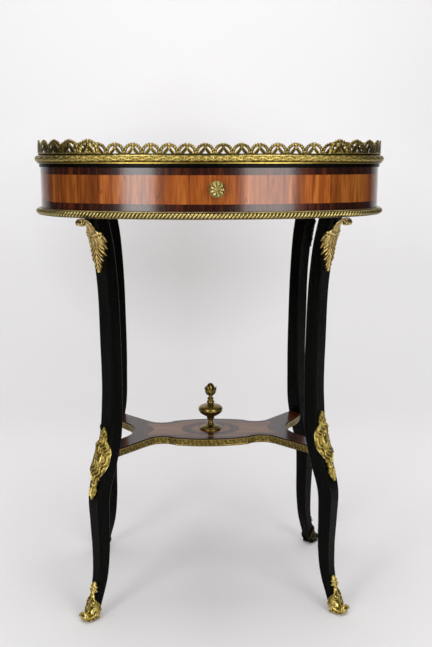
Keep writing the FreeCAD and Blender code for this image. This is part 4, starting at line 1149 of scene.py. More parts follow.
@dataclass
class OvalMouldings:
    """The two cast mouldings that run round the table, over and under the frieze."""

    upper: RingForm = RingForm(0.7533, 0.0152, 0.66, 2400, 17, 0.0024)
    lower: RingForm = RingForm(0.67, 0.0104, 0.86, 2640, 11)
    back: float = -0.001
    fillet_reach: float = 0.0055
    reach: float = 0.01
    cut: float = 0.0013
    sink: float = 0.0009
    bevel: float = 0.0003
    shade_line_depth: float = 0.0034
    shade_line_lip: float = 0.0001
    wave_pitch: float = 0.021
    strand_pitch: float = 0.0059

    def ring(self, form: RingForm, chasing: Pattern) -> Surface:
        """Carries a moulding's section round the oval.

        The face is a fillet, a belly and a fillet: the belly swells out of them by
        (reach - fillet_reach) * (1 - v^2)^0.4 with v from -1 to 1 up it, and chasing(s, v)
        between 0 and 1 cuts into it. Corners are (offset, level, relief).

        Args:
            form: The moulding's size.
            chasing: The pattern, of the length round in metres and of v.

        Returns:
            The closed ring.
        """
        s = np.linspace(0, OVAL.length(), form.columns, endpoint=False)
        v = np.linspace(-1, 1, form.rows)
        swell = (self.reach - self.fillet_reach) * np.clip(1 - v**2, 0, 1) ** 0.4
        pattern = chasing(s[:, None], v[None, :])
        depth = self.cut * (1 - pattern) * np.clip(1 - v**2, 0, 1) ** 0.3
        offset = self.fillet_reach - self.sink + np.maximum(swell - depth, 0)
        lip = form.height * (1 - form.belly) / 2
        face_z = form.level + lip + (v + 1) / 2 * form.height * form.belly
        low, top, out, bevel = form.level, form.level + form.height, self.fillet_reach, self.bevel
        # The lower fillet's relief stays near 0.5 where the upper fillet's is near 1: painted shade on
        # the lower face, with 0.6 along its lower corner as a painted highlight.
        below = np.array([
            (self.back, low, 0.3), (out - bevel, low, 0.4), (out, low + bevel, 0.6),
            (out, low + lip - bevel, 0.5), (out - self.sink, low + lip, 0.0)])
        edge = top - form.line
        above = [(out - self.sink, top - lip, 0.0), (out, top - lip + bevel, 0.95),
                 (out, edge - bevel, 1.0), (out - bevel, edge, 0.8)]
        # The sunk line's relief of -1 paints it darker than any hollow: painted shade in the gap at the
        # top's edge.
        if form.line:
            sunk = out - self.shade_line_depth
            above += [(sunk, edge, -1.0), (sunk, top - self.shade_line_lip, -1.0)]
        above = np.array([*above, (self.back, top, 0.3)])

        def framed(face: Array, column: int) -> Array:
            """Returns the face's values between one column of the corners below and above."""
            ends = [np.tile(corners[:, column], (form.columns, 1)) for corners in (below, above)]
            return np.concatenate([ends[0], face, ends[1]], axis=1)

        levels = np.concatenate([below[:, 1], face_z, above[:, 1]])
        loops = raised(beside(*OVAL.walk(s), framed(offset, 0)), levels)
        return loft(loops, framed(0.05 + 0.95 * pattern, 2), True)

    def wave(self, s: Array, v: Array) -> Array:
        """Returns the upper pattern: a running stem with a fan of leaf in each bend.

        The stem lies on v = 0.42 sin(2 pi s / pitch). A fan has its foot in the hollow of
        a bend and its rays follow cos(7 a) of the angle a about that foot.

        Args:
            s: Lengths round the oval.
            v: Places up the belly, from -1 to 1.

        Returns:
            The pattern from 0 to 1.
        """
        pitch = OVAL.length() / round(OVAL.length() / self.wave_pitch)
        stem = bump_at(v, 0.42 * np.sin(2 * np.pi * s / pitch), 0.2)
        out = np.zeros(np.broadcast(s, v).shape)
        for side in (-1, 1):
            along = (np.mod(s / pitch + 0.25 * side, 1.0) - 0.5) * 4.0
            up = v * side + 1.0
            angle = np.arctan2(along, up + 1e-6)
            rays = 0.55 + 0.45 * np.cos(7 * angle)
            fan = np.clip(1.5 - np.hypot(along, up), 0, 1) ** 0.5 * rays
            out = np.maximum(out, fan * np.exp(-((angle / 1.35) ** 4)))
        return 0.22 + 0.78 * np.clip(np.maximum(0.85 * stem, 0.8 * out), 0, 1)

    def rope(self, s: Array, v: Array) -> Array:
        """Returns the lower pattern: round strands on a slant, |sin(pi (s / pitch - 0.55 v))|.

        Args:
            s: Lengths round the oval.
            v: Places up the belly, from -1 to 1.

        Returns:
            The pattern from 0 to 1.
        """
        pitch = OVAL.length() / round(OVAL.length() / self.strand_pitch)
        strand = np.abs(np.sin(np.pi * (s / pitch - 0.55 * v)))
        return 0.14 + 0.86 * np.clip(strand * 1.5 - 0.5, 0, 1) ** 0.9

    def build(self, palette: Palette) -> None:
        """Makes both mouldings.

        Args:
            palette: The finishes.
        """
        upper, lower = self.ring(self.upper, self.wave), self.ring(self.lower, self.rope)
        palette.cast("gilt_cast", upper, "leaf_moulding", ["top_moulding"])
        palette.cast("gilt_aged", lower, "rope_moulding", ["base_moulding"])


@dataclass
class Gallery:
    """The pierced rail on the top: a row of small arches with a leaf in each.

    A bay's knots are shares of its pitch and height; widths of its bars are millimetres.
    A sprig is its place along the arch, its rise and how far it leans out.
    """

    level: float = 0.7685
    height: float = 0.0225
    wall: float = 0.002
    inset: float = 0.0025
    opening: float = 0.36
    bays: int = 33
    arch_x: Curve = Curve.even(
        -0.465, -0.452, -0.41, -0.315, -0.165, 0, 0.165, 0.315, 0.41, 0.452, 0.465)
    arch_z: Curve = Curve.even(0.02, 0.22, 0.45, 0.65, 0.78, 0.815, 0.78, 0.65, 0.45, 0.22, 0.02)
    arch_wide: Curve = Curve.even(7.0, 7.2, 6.9, 6.2, 5.6, 5.6, 5.6, 6.2, 6.9, 7.2, 7.0)
    foot_x: Curve = Curve((0, 0.25, 0.6, 1), (0.29, 0.235, 0.14, 0.045))
    foot_z: Curve = Curve((0, 0.25, 0.6, 1), (0.02, 0.15, 0.32, 0.52))
    foot_wide: Curve = Curve((0, 0.5, 1), (8.0, 7.4, 6.4))
    stem_wide: Curve = Curve((0, 0.12, 0.3, 0.55, 0.8, 1), (1.5, 7.4, 9.8, 8.0, 6.2, 5.6))
    sprigs: tuple[Triple, ...] = (
        (0.09, 0.17, 0.03), (0.19, 0.15, 0.06), (0.29, 0.13, 0.08), (0.37, 0.1, 0.08))
    arch_points: int = 51
    bar_points: int = 20
    rail_points: int = 400

    def half_length(self) -> float:
        """Returns the length from mid front to the opening's edge."""
        radius = OVAL.side_radius + self.inset
        return radius * math.asin(self.opening / 2 / radius)

    def arch(self, pitch: float) -> Surface:
        """Returns the leafy arch of one bay.

        Args:
            pitch: The bay's length.

        Returns:
            The bar.
        """
        at = np.linspace(0, 1, self.arch_points)
        path = np.stack([self.arch_x.at(at) * pitch, self.arch_z.at(at) * self.height], 1)
        return sweep(path, self.arch_wide.at(at) * MM, self.wall, Bar(20, 4, 0.2, lobes=10))

    def half_bay(self, pitch: float, side: int) -> list[Surface]:
        """Returns one side of a bay: the bowed foot, the sprigs and half a post.

        Args:
            pitch: The bay's length.
            side: 1 or -1, the side of its middle.

        Returns:
            The bars.
        """
        high, wall = self.height, self.wall
        t = np.linspace(0, 1, self.bar_points)
        foot = np.stack([side * pitch * self.foot_x.at(t), high * self.foot_z.at(t)], 1)
        bars = [sweep(foot, self.foot_wide.at(t) * MM, wall * 0.92, Bar(16, 3, 0.2, lobes=4))]
        right_x, right_z = (curve.values[len(curve.values) // 2:]
                            for curve in (self.arch_x, self.arch_z))
        u = np.linspace(0, 1, 6)
        for place, rise, lean in self.sprigs:
            base = float(smooth_through(right_x, right_z, np.array([place]))[0])
            sprig = np.stack([side * pitch * (place + lean * u),
                              high * (base - 0.06 + (rise + 0.06) * u)], 1)
            bars.append(sweep(sprig, 0.0046 * (1 - 0.7 * u**2), wall * 0.96, Bar(8)))
        u = np.linspace(0, 1, 8)
        post = np.stack([np.full(8, side * pitch * 0.49), high * (0.02 + 0.5 * u)], 1)
        bars.append(sweep(post, 0.0058 * (1 - 0.4 * u**3), wall * 0.94, Bar(10, 1, 0.2)))
        return bars

    def bay(self, pitch: float) -> Surface:
        """Returns one bay, flat: x along the rail, y out of it and z up.

        A leaf stem stands in the arch on two bowed feet, sprigs and a crest of small
        leaves top it, and two half posts end it.

        Args:
            pitch: The bay's length.

        Returns:
            Its bars as one surface.
        """
        t = np.linspace(0, 1, self.bar_points)
        middle = np.zeros(self.bar_points)
        stem = np.stack([middle, self.height * (0.36 + 0.5 * t)], 1)
        crest = np.stack([middle, self.height * (0.78 + 0.215 * t)], 1)
        crest_wide = 0.003 + 0.0038 * np.sin(np.pi * t) ** 0.8
        return Surface.joined([
            self.arch(pitch),
            sweep(stem, self.stem_wide.at(t) * MM, self.wall * 0.94, Bar(18, 4, 0.22, lobes=4)),
            *self.half_bay(pitch, -1),
            *self.half_bay(pitch, 1),
            sweep(crest, crest_wide, self.wall, Bar(10, 2, 0.15)),
        ])

    def bent(self, bay: Surface, middle: float) -> Surface:
        """Returns a bay bent round the oval, its middle at a length from mid front.

        Args:
            bay: The flat bay.
            middle: The length to its middle.

        Returns:
            The bay in its place.
        """
        spot, outward = OVAL.walk(middle + bay.points[:, 0], self.inset)
        flat = spot + outward * bay.points[:, 1:2]
        return replace(bay, points=np.concatenate([flat, self.level + bay.points[:, 2:]], axis=1))

    def rail(self, start: float, total: float) -> Surface:
        """Returns the low eight-sided rail under the bays, from a start for a total length.

        Its section is an octagon, cut flat where it lies on the top.

        Args:
            start: The length to its first end.
            total: Its own length.

        Returns:
            The rail.
        """
        spot, outward = OVAL.walk(np.linspace(start, start + total, self.rail_points), self.inset)
        turn = np.linspace(0, 2 * np.pi, 8, endpoint=False) + np.pi / 8
        off = np.cos(turn) * self.wall * 0.54
        up = 0.0011 + np.sin(turn) * 0.0012
        loops = raised(beside(spot, outward, off[None, :]), self.level + np.maximum(up, 0))
        return loft(loops, np.full(loops.shape[:2], 0.7))

    def build(self, palette: Palette) -> None:
        """Bends the bays round the oval and stands them on a low rail.

        Args:
            palette: The finishes.
        """
        start = self.half_length()
        total = OVAL.length(self.inset) - 2 * start
        pitch = total / self.bays
        bay = self.bay(pitch)
        parts = [self.bent(bay, start + (number + 0.5) * pitch) for number in range(self.bays)]
        parts.append(self.rail(start, total))
        palette.cast("gilt_rail", Surface.joined(parts), "pierced_gallery", ["gallery"], smooth=55.0)


@dataclass
class Legs:
    """The four ebonised legs with their chutes, knee mounts and sabots.

    Patterns and outlines of the mounts are in millimetres: x across the leg from the
    middle of its outer face, z up, and edge the distance from the mount's edge.
    """

    sides: int = 96
    rows: int = 150
    panel_share: float = 0.62
    panel_depth: float = 0.045
    groove_depth: float = 0.03
    plate_seat: float = 0.0005
    plate_tuck: float = 0.0003
    rim_width: float = 0.9
    chute_height: float = 0.088
    chute_drop: float = 0.012
    chute_lobes: float = 5.0
    lobe_start: float = 0.15
    lobe_lean: float = 0.09
    chute_outline: Curve = Curve(
        (0, 0.08, 0.16, 0.25, 0.365, 0.51, 0.68, 0.84, 0.93, 1),
        (9.0, 10.5, 18.5, 20.5, 20.0, 17.0, 13.5, 8.0, 6.0, 2.0))
    scroll_drop: float = 0.034
    scroll_face_drop: float = 0.006
    scroll_neck_start: float = 0.001
    scroll_neck_reach: float = 0.0165
    scroll_neck_rise: float = 0.0324
    scroll_eye: tuple[float, float] = (0.0178, 0.0064)
    scroll_half_turns: float = 3.1
    scroll_radius: float = 0.0052
    scroll_tightening: float = 0.0013
    scroll_thick: float = 0.0048
    scroll_taper: float = 0.0027
    scroll_collar: float = 0.0022
    scroll_deep: Curve = Curve((0, 0.12, 0.26, 0.42, 1), (0.016, 0.013, 0.012, 0.0165, 0.0172))
    knee_level: float = 0.266
    knee_lift_right: float = 0.022
    knee_height: float = 0.118
    knee_outline: Curve = Curve(
        (0, 0.04, 0.09, 0.15, 0.19, 0.25, 0.3, 0.395, 0.5, 0.61, 0.66, 0.71, 0.78, 0.82, 0.87, 0.92, 1),
        (0.3, 3.5, 7.6, 8.6, 10.4, 14.6, 17.0, 18.6, 18.2, 14.6, 12.0, 9.4, 6.6, 6.4, 8.4, 6.8, 0.8))
    stone_half: tuple[float, float] = (6.8, 10.5)
    beads: int = 22
    knee_scrolls: tuple[Scroll, ...] = (
        Scroll(9.5, 17, 8.0, 1), Scroll(-9.0, 19, 7.5, -1), Scroll(-11.5, -13, 8.5, 1),
        Scroll(10.5, -15, 8.0, -1), Scroll(0.0, 29, 6.5, 1), Scroll(3.0, -29, 6.5, -1),
        Scroll(13.0, 1, 6.5, 1), Scroll(-13.5, 4, 6.5, -1), Scroll(-2.5, -40, 5.5, 1))
    sabot_height: float = 0.062
    sabot_outline: Curve = Curve(
        (0, 0.04, 0.09, 0.13, 0.18, 0.23, 0.28, 0.34, 0.4, 0.47, 0.56, 0.66, 0.8, 1),
        (0.12, 0.42, 0.5, 0.86, 0.62, 0.95, 0.62, 0.5, 0.66, 1.0, 1.65, 2.3, 2.9, 3.3))
    sabot_scrolls: tuple[Triple, ...] = (
        (11.0, 18.0, 7.0), (18.0, 8.0, 7.0), (5.5, 28.0, 5.0), (4.0, 48.0, 4.0))
    toe_radius: float = 0.0072
    toe_half_width: float = 0.0095
    toe_step: float = 0.005
    toe_rib_depth: float = 0.035
    toe_curl_half_turns: float = 3.2
    toe_curl_radius: float = 0.0056
    toe_curl_inset: float = 0.0012

    def shaft(self) -> Surface:
        """Returns one leg: a rounded square with a sunk panel on each face.

        The section is carried up the leg's course; a point whose share across its face is
        under 0.62 lies 4.5% deeper, with a soft step and a groove, so that a moulded edge
        stands up.

        Returns:
            The shaft, standing on the origin.
        """
        level = np.linspace(0, LEG.height, self.rows)
        reach, half = LEG.course(level)
        turn = np.linspace(-np.pi, np.pi, self.sides, endpoint=False)
        c, s = np.cos(turn), np.sin(turn)
        radius = (np.abs(c) ** 7 + np.abs(s) ** 7) ** (-1 / 7)
        share = np.minimum(np.abs(c), np.abs(s)) / np.maximum(np.abs(c), np.abs(s))
        panel = 1 / (1 + np.exp((share - self.panel_share) * 26))
        groove = bump_at(share, self.panel_share, 0.07)
        radius = radius * (1 - self.panel_depth * panel - self.groove_depth * groove)
        loops = np.stack([
            reach[:, None] + half[:, None] * radius * c,
            half[:, None] * radius * s,
            np.broadcast_to(level[:, None], (len(level), len(turn))),
        ], axis=-1)
        return loft(loops, np.full(loops.shape[:2], 0.5))

    def sheet(self, level: Array, half_width: Array, relief: Relief, body: float, depth: float,
              columns: int) -> Surface:
        """Returns a cast plate that wraps the outer side of the leg.

        Its back lies 0.5 mm in the wood; its front lies body mm over the skin, and depth
        mm more where its relief is 1.

        Args:
            level: One level for each row.
            half_width: The plate's half width at each row, in millimetres.
            relief: The pattern from 0 to 1, of x, z and edge.
            body: The plate's thickness in the hollows.
            depth: The relief's depth.
            columns: Points across.

        Returns:
            The closed plate.
        """
        a = np.linspace(-1, 1, columns)[None, :]
        across = a * half_width[:, None]
        ends = np.minimum(np.abs(level - level[0]), np.abs(level - level[-1]))[:, None] / MM
        edge = np.minimum((1 - np.abs(a)) * half_width[:, None], ends)
        rim = np.clip(edge / self.rim_width, 0, 1) ** 0.5
        upright = np.broadcast_to(level[:, None] / MM, across.shape)
        pattern = np.clip(relief(across, upright, edge), 0, 1)
        front = (body + depth * pattern) * MM * rim - self.plate_tuck * (1 - rim)
        around = across * MM / LEG.course(level)[1][:, None]
        points = np.concatenate([
            LEG.skin(around, level, front),
            LEG.skin(around[:, ::-1], level, np.full_like(front, -self.plate_seat)),
        ], axis=1)
        bright = 0.02 + pattern * (0.3 + 0.72 * rim)
        return loft(points, np.concatenate([bright, np.full_like(bright, 0.2)], axis=1))

    def chute_lobe(self, down: Array, x: Array) -> Array:
        """Returns how many lobes lie above a share down the leaf, at a distance across."""
        return self.chute_lobes * down + self.lobe_start - self.lobe_lean * x

    def chute_relief(self, x: Array, z: Array, edge: Array) -> Array:
        """Returns the leaf's ribs, two to a lobe, faint over a collar and bold to the tip.

        Args:
            x: Lengths across.
            z: Levels.
            edge: Distances from the edge.

        Returns:
            The pattern.
        """
        top = (LEG.height - self.chute_drop) / MM
        down = (top - z) / ((self.chute_height - self.chute_drop) / MM)
        lobes = self.chute_lobe(down, np.abs(x))
        valley = bump_at(np.mod(lobes, 1.0), 0.04, 0.07) * np.clip(np.abs(x) / 5, 0, 1)
        ribs = 0.5 + 0.5 * np.cos(2 * np.pi * (2.0 * lobes - 0.5))
        curls = highest([Scroll(side * 9.0, -14.0, 7.0, side) for side in (-1, 1)], x, z - top)
        bold = np.clip(down * 3.6 - 1.3, 0.16, 1)
        blade = 0.66 + bold * (0.75 * ribs**1.3 - 0.54) - (0.2 + 0.3 * bold) * valley
        blade += 0.12 * np.sin(0.9 * x + 0.7 * np.sin(0.55 * z)) * (1 - bold)
        bow = 0.004 * np.abs(x)
        collar = bump_at(down, 0.2 - bow, 0.016) - 0.6 * bump_at(down, 0.245 - bow, 0.013)
        midrib = bump_at(x, 0, 1.3) * bold
        blade = np.maximum(blade + 0.5 * collar, midrib) - 0.4 * bump_at(edge, 0, 0.6)
        return blade * (1 - 0.6 * curls) + 0.6 * curls

    def chute_scroll(self) -> Surface:
        """Returns the bar that rises from the leaf's back and winds up at the leg's head.

        Its neck goes out by rise^1.6 and up by sin(rise pi / 2)^1.15, rise the share of
        the neck; the scroll's radius then falls evenly with its turn. Two collars, bumps
        at 10% and 15.5% of the whole way, thicken it.

        Returns:
            The bar.
        """
        head = LEG.height
        foot = head - self.scroll_drop
        reach, half = LEG.course(np.array([foot, head - self.scroll_face_drop]))
        root, face = reach + half
        turn = np.linspace(0, self.scroll_half_turns * np.pi, 70)
        radius = self.scroll_radius - self.scroll_tightening * turn / np.pi
        spiral = np.stack([face + self.scroll_eye[0] + np.sin(turn) * radius,
                           head - self.scroll_eye[1] + np.cos(turn) * radius], 1)
        rise = np.linspace(0, 1, 26)[:-1]
        start = root + self.scroll_neck_start
        neck = np.stack([
            start + (face + self.scroll_neck_reach - root) * rise**1.6,
            foot + self.scroll_neck_rise * np.sin(rise * np.pi / 2) ** 1.15], 1)
        path = np.vstack([neck, spiral])
        along = np.linspace(0, 1, len(path))
        collar = self.scroll_collar * (bump_at(along, 0.1, 0.013) + bump_at(along, 0.155, 0.013))
        thick = self.scroll_thick - self.scroll_taper * along + collar
        return sweep(path, thick, self.scroll_deep.at(along) + collar, Bar(24, 4, 0.3, 0.75))

    def chute(self) -> Surface:
        """Returns the leaf at the leg's head with its outward scroll.

        The leaf has five lobes a side whose tips point down: its half width is a smooth
        curve times 1 + 0.26 (f - 0.5), f the share down a lobe, with a finer cut edge.

        Returns:
            The leaf and its scroll as one surface.
        """
        top, low = LEG.height - self.chute_drop, LEG.height - self.chute_height
        level, t = np.linspace(top, low, self.rows), np.linspace(0, 1, self.rows)
        body = self.chute_outline.at(t)
        lobe = np.mod(self.chute_lobe(t, body), 1.0)
        width = body * (1 + 0.26 * (lobe - 0.5) * np.clip(t * 9 - 0.9, 0, 1)
                        + 0.04 * np.cos(2 * np.pi * 21 * t))
        leaf = self.sheet(level, width, self.chute_relief, 1.3, 2.8, 80)
        return Surface.joined([leaf, self.chute_scroll()])

    def knee(self, lift_up: float) -> Surface:
        """Returns the cartouche on the knee: plume, cabochon in a beaded frame, leaf tail.

        The relief is a height field over (x, y) in millimetres from the stone's middle:
        the stone is sqrt(1 - r^2) in its own oval, r = 1 on its rim; the frame is a ridge
        at a fixed distance from the plate's edge; 22 beads follow cos(22 a) about the
        stone; scrolls are wound round it, one side bolder than the other.

        Args:
            lift_up: How much higher than usual it sits.

        Returns:
            The plate.
        """
        middle = self.knee_level + lift_up
        rows = 190
        level = np.linspace(middle + self.knee_height / 2, middle - self.knee_height / 2, rows)
        t = np.linspace(0, 1, rows)
        half = self.knee_outline.at(t)
        away = np.clip(np.abs(t - 0.43) * 8 - 1.2, 0, 1)
        half = half * (1 + 0.07 * np.cos(2 * np.pi * 14 * t) * away)
        stone_level = (middle + self.knee_height * 0.06) / MM

        def relief(x: Array, z: Array, edge: Array) -> Array:
            """Returns the highest of ground, stone, beads, frame, scrolls and leaf.

            Args:
                x: Lengths across.
                z: Levels.
                edge: Distances from the edge.

            Returns:
                The pattern.
            """
            y = z - stone_level
            along_x, along_y = x / self.stone_half[0], y / self.stone_half[1]
            r, turn = np.hypot(along_x, along_y), np.arctan2(along_x, along_y)
            stone = np.sqrt(np.clip(1 - r**2, 0, 1)) + 0.75 * bump_at(r, 1.22, 0.1)
            beads = bump_at(r, 1.62, 0.13) * (0.5 + 0.5 * np.cos(self.beads * turn))
            frame = bump_at(edge, 1.9, 0.9) * np.clip(1.9 - np.abs(y) / 24, 0, 1)
            ground = 0.46 + 0.16 * np.cos(0.9 * x + 0.45 * y + 2.2 * np.sin(0.28 * y - 0.2 * x))
            curls = 0.95 * highest(self.knee_scrolls, x, y) * np.clip(r - 1.75, 0, 1)
            leaf = np.clip(np.abs(y) / 10 - 3.6, 0, 1)
            fan = (0.5 + 0.5 * np.cos(2 * np.pi * (np.abs(x) / 3.6 + np.abs(y) / 9))) * leaf
            return np.maximum.reduce([ground, stone, 0.8 * beads, frame, curls, 0.85 * fan])

        return self.sheet(level, half, relief, 1.7, 4.0, 96)

    def sabot_relief(self, x: Array, z: Array, edge: Array) -> Array:
        """Returns the highest of shell, rim, scrolls, leaf and midrib.

        The shell's ribs fan out from the toe as cos(11 a) of the angle a about it, under
        a rim that follows the edge; scrolls are wound on each cheek.

        Args:
            x: Lengths across.
            z: Levels.
            edge: Distances from the edge.

        Returns:
            The pattern.
        """
        away = np.hypot(x, z - 2.0)
        angle = np.arctan2(x, z - 2.0 + 1e-6)
        shell = (0.5 + 0.5 * np.cos(11 * angle)) * np.clip((30 - away) / 6, 0, 1)
        shell = shell * np.clip((away - 7) / 3, 0, 1)
        rim = bump_at(edge, 1.3, 0.75)
        curls = highest([Scroll(side * eye_x, eye_z, size, side) for side in (-1, 1)
                         for eye_x, eye_z, size in self.sabot_scrolls], x, z)
        leaf = 0.5 + 0.5 * np.cos(2 * np.pi * (z / 6.5 + np.abs(x) / 5))
        leaf = leaf * np.clip((z - 34) / 5, 0, 1)
        rib = bump_at(x, 0, 1.1) * np.clip((z - 26) / 8, 0, 1)
        return np.maximum.reduce([0.7 * shell, rim, 0.95 * curls, 0.8 * leaf, 0.9 * rib]) * 0.8 + 0.2

    def toe(self) -> list[Surface]:
        """Returns the rolled toe, a ribbed roller across the foot, with a curl at each end.

        The roller's radius follows sin(pi t)^0.4, t the share along it, less nine ribs of
        (1 + cos(9 a)) / 2 of the turn a; a curl's radius falls evenly to a fifth.

        Returns:
            The roller and the two curls.
        """
        radius, half_width = self.toe_radius, self.toe_half_width
        reach, half = LEG.course(np.array([radius]))
        middle = float(reach[0] + half[0]) + self.toe_step
        along = np.linspace(0, 1, 30)
        profile = np.stack([
            radius * np.clip(np.sin(np.pi * along), 0.0004, 1) ** 0.4,
            half_width * (2 * along - 1)], 1)
        deep = self.toe_rib_depth
        roll = lathe(
            profile, 48, lambda t, a: 1 - deep * (0.5 + 0.5 * np.cos(9 * a)) * np.sin(np.pi * t))
        roll = roll.moved(
            lambda p: np.stack([middle + p[:, 0], p[:, 2], radius + p[:, 1] * 0.98], 1))
        roll.relief = np.maximum(roll.relief, 0.62)
        turn = np.linspace(0, self.toe_curl_half_turns * np.pi, 60)
        out = self.toe_curl_radius * (1 - 0.8 * turn / turn[-1])
        curl = np.stack([middle + out * np.cos(turn), radius + out * np.sin(turn)], 1)
        eye = sweep(curl, 0.0016, 0.0036, Bar(8))
        apart = half_width - self.toe_curl_inset
        return [roll, *(replace(eye, points=eye.points + np.array([0, side * apart, 0]))
                        for side in (-1, 1))]

    def sabot(self) -> Surface:
        """Returns the shoe: a leaf tip, a narrow neck, a scrolled shell and a rolled toe.

        Its half width is the leg's own, times a smooth curve of the share of the way down.

        Returns:
            The shoe as one surface.
        """
        rows = 130
        level = np.linspace(self.sabot_height, 0.0006, rows)
        t = np.linspace(0, 1, rows)
        width = self.sabot_outline.at(t) * LEG.course(level)[1] / MM
        shell = self.sheet(level, width, self.sabot_relief, 1.2, 2.2, 120)
        return Surface.joined([shell, *self.toe()])

    def build(self, palette: Palette) -> None:
        """Makes the legs and their mounts at all four corners.

        Args:
            palette: The finishes.
        """
        shaft, chute, sabot = self.shaft(), self.chute(), self.sabot()
        for corner in Corner:
            lift = self.knee_lift_right if corner.value[0] > 0 else 0.0
            castings = {"chute": chute, "knee_mount": self.knee(lift), "sabot": sabot}
            leg = LEG.stand(shaft, corner).piece(
                f"cabriole_{corner.label}", "table", "ebonised_wood", [f"leg_{corner.label}"])
            palette.dress("ebonised_polish", leg)
            for kind, surface in castings.items():
                node = f"{kind}_{corner.label}"
                front = "gilt_warm" if kind == "chute" else "gilt_cast"
                palette.cast("gilt_black" if corner.value[1] > 0 else front,
                             LEG.stand(surface, corner), f"cast_{node}", [node], smooth=60.0)


@dataclass
class Undertier:
    """The brass edge of the shaped shelf, on the shelf's own outline."""

    level: float = 0.2698
    board_middle: float = 0.0065
    band_drop: float = 0.0016
    band_height: float = 0.011
    band_wall: float = 0.002
    band_cut: float = 0.0009
    band_seat: float = 0.0004
    leaf_pitch: float = 0.0072
    lobe_turn: float = 35.0
    waist_turn: float = -94.0
    arm_turn: float = 24.0
    notch_turn: float = -80.0
    cusp: tuple[float, float] = (0.063, 0.051)
    arm: tuple[float, float] = (0.110, 0.0515)
    notch: tuple[float, float] = (0.152, 0.044)
    tongue: float = 0.004
    tongue_share: float = 0.3
    step: float = 0.0006

    def corners(self) -> list[Triple]:
        """Returns the outline's corners, once round.

        One quarter is given, from the front's lobe to the side's notch, with the leg's
        tongue between its arm and the notch, and is mirrored twice.

        Returns:
            For each corner x, y and the turn in degrees of the arc that follows it.
        """
        reach, half = LEG.course(np.array([self.level + self.board_middle]))
        inner = float(reach[0] - half[0]) + self.tongue
        side = float(half[0]) * 2 * self.tongue_share
        near, far = (inner - side) * DIAGONAL, (inner + side) * DIAGONAL
        quarter = [
            (self.cusp[0], -self.cusp[1], self.waist_turn),
            (self.arm[0], -self.arm[1], 0.0),
            (LEG.anchor[0] + near, -(LEG.anchor[1] + far), 0.0),
            (LEG.anchor[0] + far, -(LEG.anchor[1] + near), self.arm_turn),
            (self.notch[0], -self.notch[1], self.notch_turn),
        ]
        bends = [bend for _, _, bend in quarter]
        rear = [(x, -y) for x, y, _ in reversed(quarter)]
        right = quarter + [
            (x, y, bend) for (x, y), bend in zip(rear, bends[-2::-1] + [self.lobe_turn])]
        mirrored = [(-x, y) for x, y, _ in reversed(right)]
        turns = [bend for _, _, bend in right]
        left = [(x, y, bend) for (x, y), bend in zip(mirrored, turns[-2::-1] + [self.lobe_turn])]
        return right + left

    def outline(self) -> tuple[Array, Array]:
        """Returns the outline, with a point about every step.

        An arc that turns by b between two corners has its centre at their middle plus
        0.5 / tan(b / 2) times the chord, turned a quarter to the left.

        Returns:
            Points and outward directions, each shaped (n, 2).
        """
        corners = self.corners()
        points, normals = [], []
        for (x0, y0, bend), (x1, y1, _) in zip(corners, corners[1:] + corners[:1]):
            start, end = np.array([x0, y0]), np.array([x1, y1])
            chord = end - start
            if bend == 0:
                count = max(int(np.linalg.norm(chord) / self.step), 2)
                share = np.arange(count)[:, None] / count
                points.append(start + chord * share)
                normal = np.array([chord[1], -chord[0]]) / np.linalg.norm(chord)
                normals.append(np.tile(normal, (count, 1)))
                continue
            slack = 0.5 / math.tan(math.radians(bend) / 2)
            centre = (start + end) / 2 + np.array([-chord[1], chord[0]]) * slack
            radius = np.linalg.norm(start - centre)
            first = math.atan2(*(start - centre)[::-1])
            count = max(int(abs(math.radians(bend)) * radius / self.step), 4)
            turn = first + math.radians(bend) * np.arange(count) / count
            spoke = np.stack([np.cos(turn), np.sin(turn)], 1)
            points.append(centre + radius * spoke)
            normals.append(spoke * math.copysign(1, bend))
        return np.vstack(points), np.vstack(normals)

    def banding(self) -> Surface:
        """Returns the brass edge: a strip of slanting leaves between two fillets.

        Leaves follow |sin(pi (s / pitch + v / 4))|^0.7 of the length s and the height v
        from -1 to 1, with a running stem on v = 0.5 sin(pi s / pitch) over them.

        Returns:
            The closed band.
        """
        points, normals = self.outline()
        runs = np.linalg.norm(np.diff(points, axis=0), axis=1)
        s = np.concatenate([[0], np.cumsum(runs)])[:, None]
        v = np.linspace(-1, 1, 11)[None, :]
        leaf = np.abs(np.sin(np.pi * (s / self.leaf_pitch + 0.25 * v))) ** 0.7
        stem = bump_at(v, 0.5 * np.sin(2 * np.pi * s / (2 * self.leaf_pitch)), 0.25)
        inside = np.clip((0.8 - np.abs(v)) * 8, 0, 1)
        pattern = np.maximum(0.75 * leaf, stem) * inside + (1 - inside)
        off = self.band_wall - self.band_cut * (1 - pattern)
        seat = np.full((len(points), 2), -self.band_seat)
        levels = self.level + self.band_drop + (v[0] + 1) / 2 * self.band_height
        flat = beside(points, normals, np.concatenate([off, seat], axis=1))
        bright = np.concatenate([0.1 + 0.85 * pattern, np.full((len(points), 2), 0.4)], axis=1)
        loops = raised(flat, np.concatenate([levels, [levels[-1], levels[0]]]))
        return loft(loops, bright, True)

    def build(self, palette: Palette) -> None:
        """Makes the shelf's brass edge."""
        # The edge takes the darker brass: painted shade under the top.
        palette.cast("gilt_shaded_edge", self.banding(), "leaf_banding", ["shelf_banding"])


@dataclass(frozen=True)
class Turned:
    """One turned part of the urn.

    Attributes:
        name: The piece's name.
        node: The CAD node that it stands for.
        base: The level of its lower end over the shelf, in millimetres.
        profile: Pairs of radius and level over the base, in millimetres.
        shape: A factor on the radius, of the share of the profile and the turn.
    """

    name: str
    node: str
    base: float
    profile: tuple[tuple[float, float], ...]
    shape: Pattern


